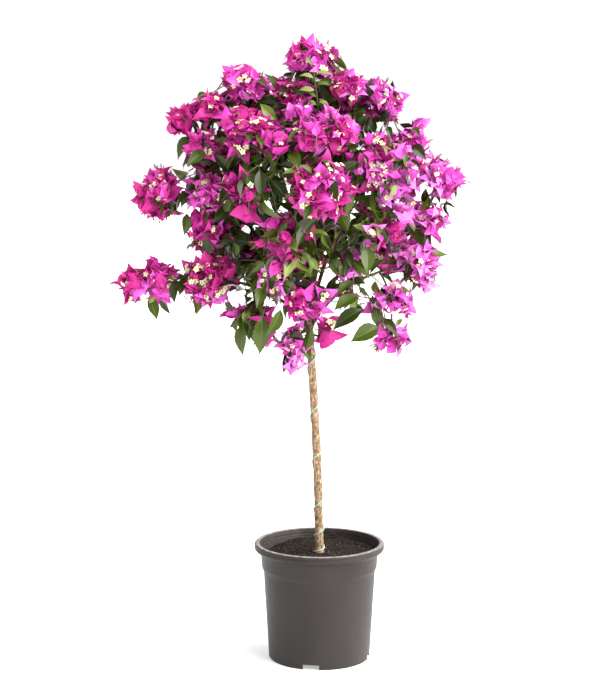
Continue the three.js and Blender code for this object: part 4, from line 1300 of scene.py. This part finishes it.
crease = np.tile([0, 0, 1, 0, 0], len(BRACT_OUTLINE) - 1)
spray_tint = np.repeat(group_tints, 3)
bract_tints = np.clip(spray_tint + random.choice([-1, 0, 0, 0, 1], bract_count), 0, 4)
bract_tints = np.where(spray_tint == OLD_TINT, OLD_TINT, bract_tints)
bract_materials = [plain_material(f"magenta_{i}", magenta, 0.55, Specular_IOR_Level=0.3)
                   for i, magenta in enumerate(MAGENTAS)]
group_sides = np.searchsorted(FRONT_AND_BACK_FROM, group_feet[:, 1])
mass_sides = {name: int(np.searchsorted(FRONT_AND_BACK_FROM, MASS_MIDDLES[name][1])) for name in MASS_NAMES}
for side, name in enumerate(("bracts_front", "bracts_middle", "bracts_back")):
    chosen = np.repeat(group_sides == side, 3)
    tints = np.maximum(bract_tints[chosen][:, None] - crease[None], 0)
    bracts = blades_piece(name, bract_corners[chosen], len(BRACT_COLUMNS), tints, bract_materials)
    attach(bracts, "root")
    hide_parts(*[mass for mass in MASS_NAMES if mass not in LEAFY and mass_sides[mass] == side])


# The flowers: one to each bract of a whole group, a thin ridged tube of dull pink that opens in a small
# five-pointed cream star, or is still closed. Each stands inside its bract, among smaller wine-red buds.
TUBE_LENGTH = 0.0178
TUBE_RADIUS = 0.0011
TUBE_SIDES = 5
CLOSED_TUBE = [0.75, 1.15, 0.25]
OPEN_TUBE = [0.8, 0.75, 1.2]
CLOSED_TUBES = 0.42
WHOLE_GROUP = 0.8
STAR_RADIUS = 0.0051
STAR_CORNERS = 10
STAR_INNER_SHARE = 0.62
STAR_TIP_LIFT = 0.0004
STAR_INNER_LIFT = 0.0010
BUD_GROUPS = 0.4
BUD_LENGTHS = (0.017, 0.028)
BUD_RADII = [0.0004, 0.0005, 0.0011, 0.0002]
PINK, CREAM, THROAT, WINE = range(4)
flower_heaps = [Heap(), Heap(), Heap()]
at_tip = np.arange(STAR_CORNERS) % 2 == 0
next_corner = [(j, (j + 1) % STAR_CORNERS) for j in range(STAR_CORNERS)]
star_faces = [(a, b, STAR_CORNERS + b, STAR_CORNERS + a) for a, b in next_corner]
throat_faces = [(STAR_CORNERS + a, STAR_CORNERS + b, 2 * STAR_CORNERS) for a, b in next_corner]
for group in range(group_count):
    across, face, way = (axis[3 * group:3 * group + 3] for axis in bract_frames)
    flower_heap = flower_heaps[group_sides[group]]
    for i in range(0 if group_under[group] else 3 if group_sizes[group] > WHOLE_GROUP else 1):
        lean = 0.35 * bract_sizes[3 * group + i, 2] + random.normal(0, 0.06)
        length = TUBE_LENGTH * random.uniform(0.8, 1.15)
        root = group_feet[group] + 0.0012 * face[i]
        tip = root + length * (math.cos(lean) * way[i] + math.sin(lean) * face[i])
        axis = (tip - root) / length
        points = np.array([root, root + 0.72 * length * axis, tip])
        closed = random.random() < CLOSED_TUBES or group_sizes[group] < WHOLE_GROUP
        radii = TUBE_RADIUS * np.array(CLOSED_TUBE if closed else OPEN_TUBE)
        flower_heap.add(*tube(points, radii, TUBE_SIDES), PINK)
        if closed:
            continue
        turns = np.arange(STAR_CORNERS) * math.tau / STAR_CORNERS + random.uniform(0, 1)
        reach = np.where(at_tip, STAR_RADIUS, STAR_INNER_SHARE * STAR_RADIUS) * random.uniform(0.85, 1.12)
        lift = np.where(at_tip, STAR_TIP_LIFT, STAR_INNER_LIFT)
        level = np.cross(axis, across[i])
        ring = tip + reach[:, None] * (np.cos(turns)[:, None] * across[i] + np.sin(turns)[:, None] * level)
        ring = ring + lift[:, None] * axis
        throat = tip + 0.30 * (ring - tip) + 0.0005 * axis
        star_corners = np.vstack([ring, throat, tip + 0.0001 * axis])
        flower_heap.add(star_corners, star_faces, CREAM)
        flower_heap.add(star_corners, throat_faces, THROAT)
for group in np.flatnonzero((random.random(group_count) < BUD_GROUPS) & ~np.array(group_under)):
    for _ in range(int(random.integers(2, 5))):
        way = unit(group_ways[group] + random.normal(0, 0.3, 3))
        root = group_feet[group]
        reach = random.uniform(*BUD_LENGTHS)
        points = np.array([root, root + 0.66 * reach * way, root + 0.84 * reach * way, root + reach * way])
        bud = tube(points, BUD_RADII, TUBE_SIDES)
        flower_heaps[group_sides[group]].add(*bud, WINE if random.random() < 0.6 else PINK)
flower_materials = [
    plain_material("tube_pink", (0.36, 0.05, 0.13), 0.6),
    plain_material("star_cream", (0.90, 0.85, 0.52), 0.6),
    plain_material("star_throat", (0.45, 0.52, 0.12), 0.6),
    plain_material("bud_wine", (0.24, 0.012, 0.07), 0.55),
]
for flower_heap, name in zip(flower_heaps, ("flowers_front", "flowers_middle", "flowers_back")):
    flowers = flower_heap.joined(name, flower_materials)
    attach(flowers, "root")
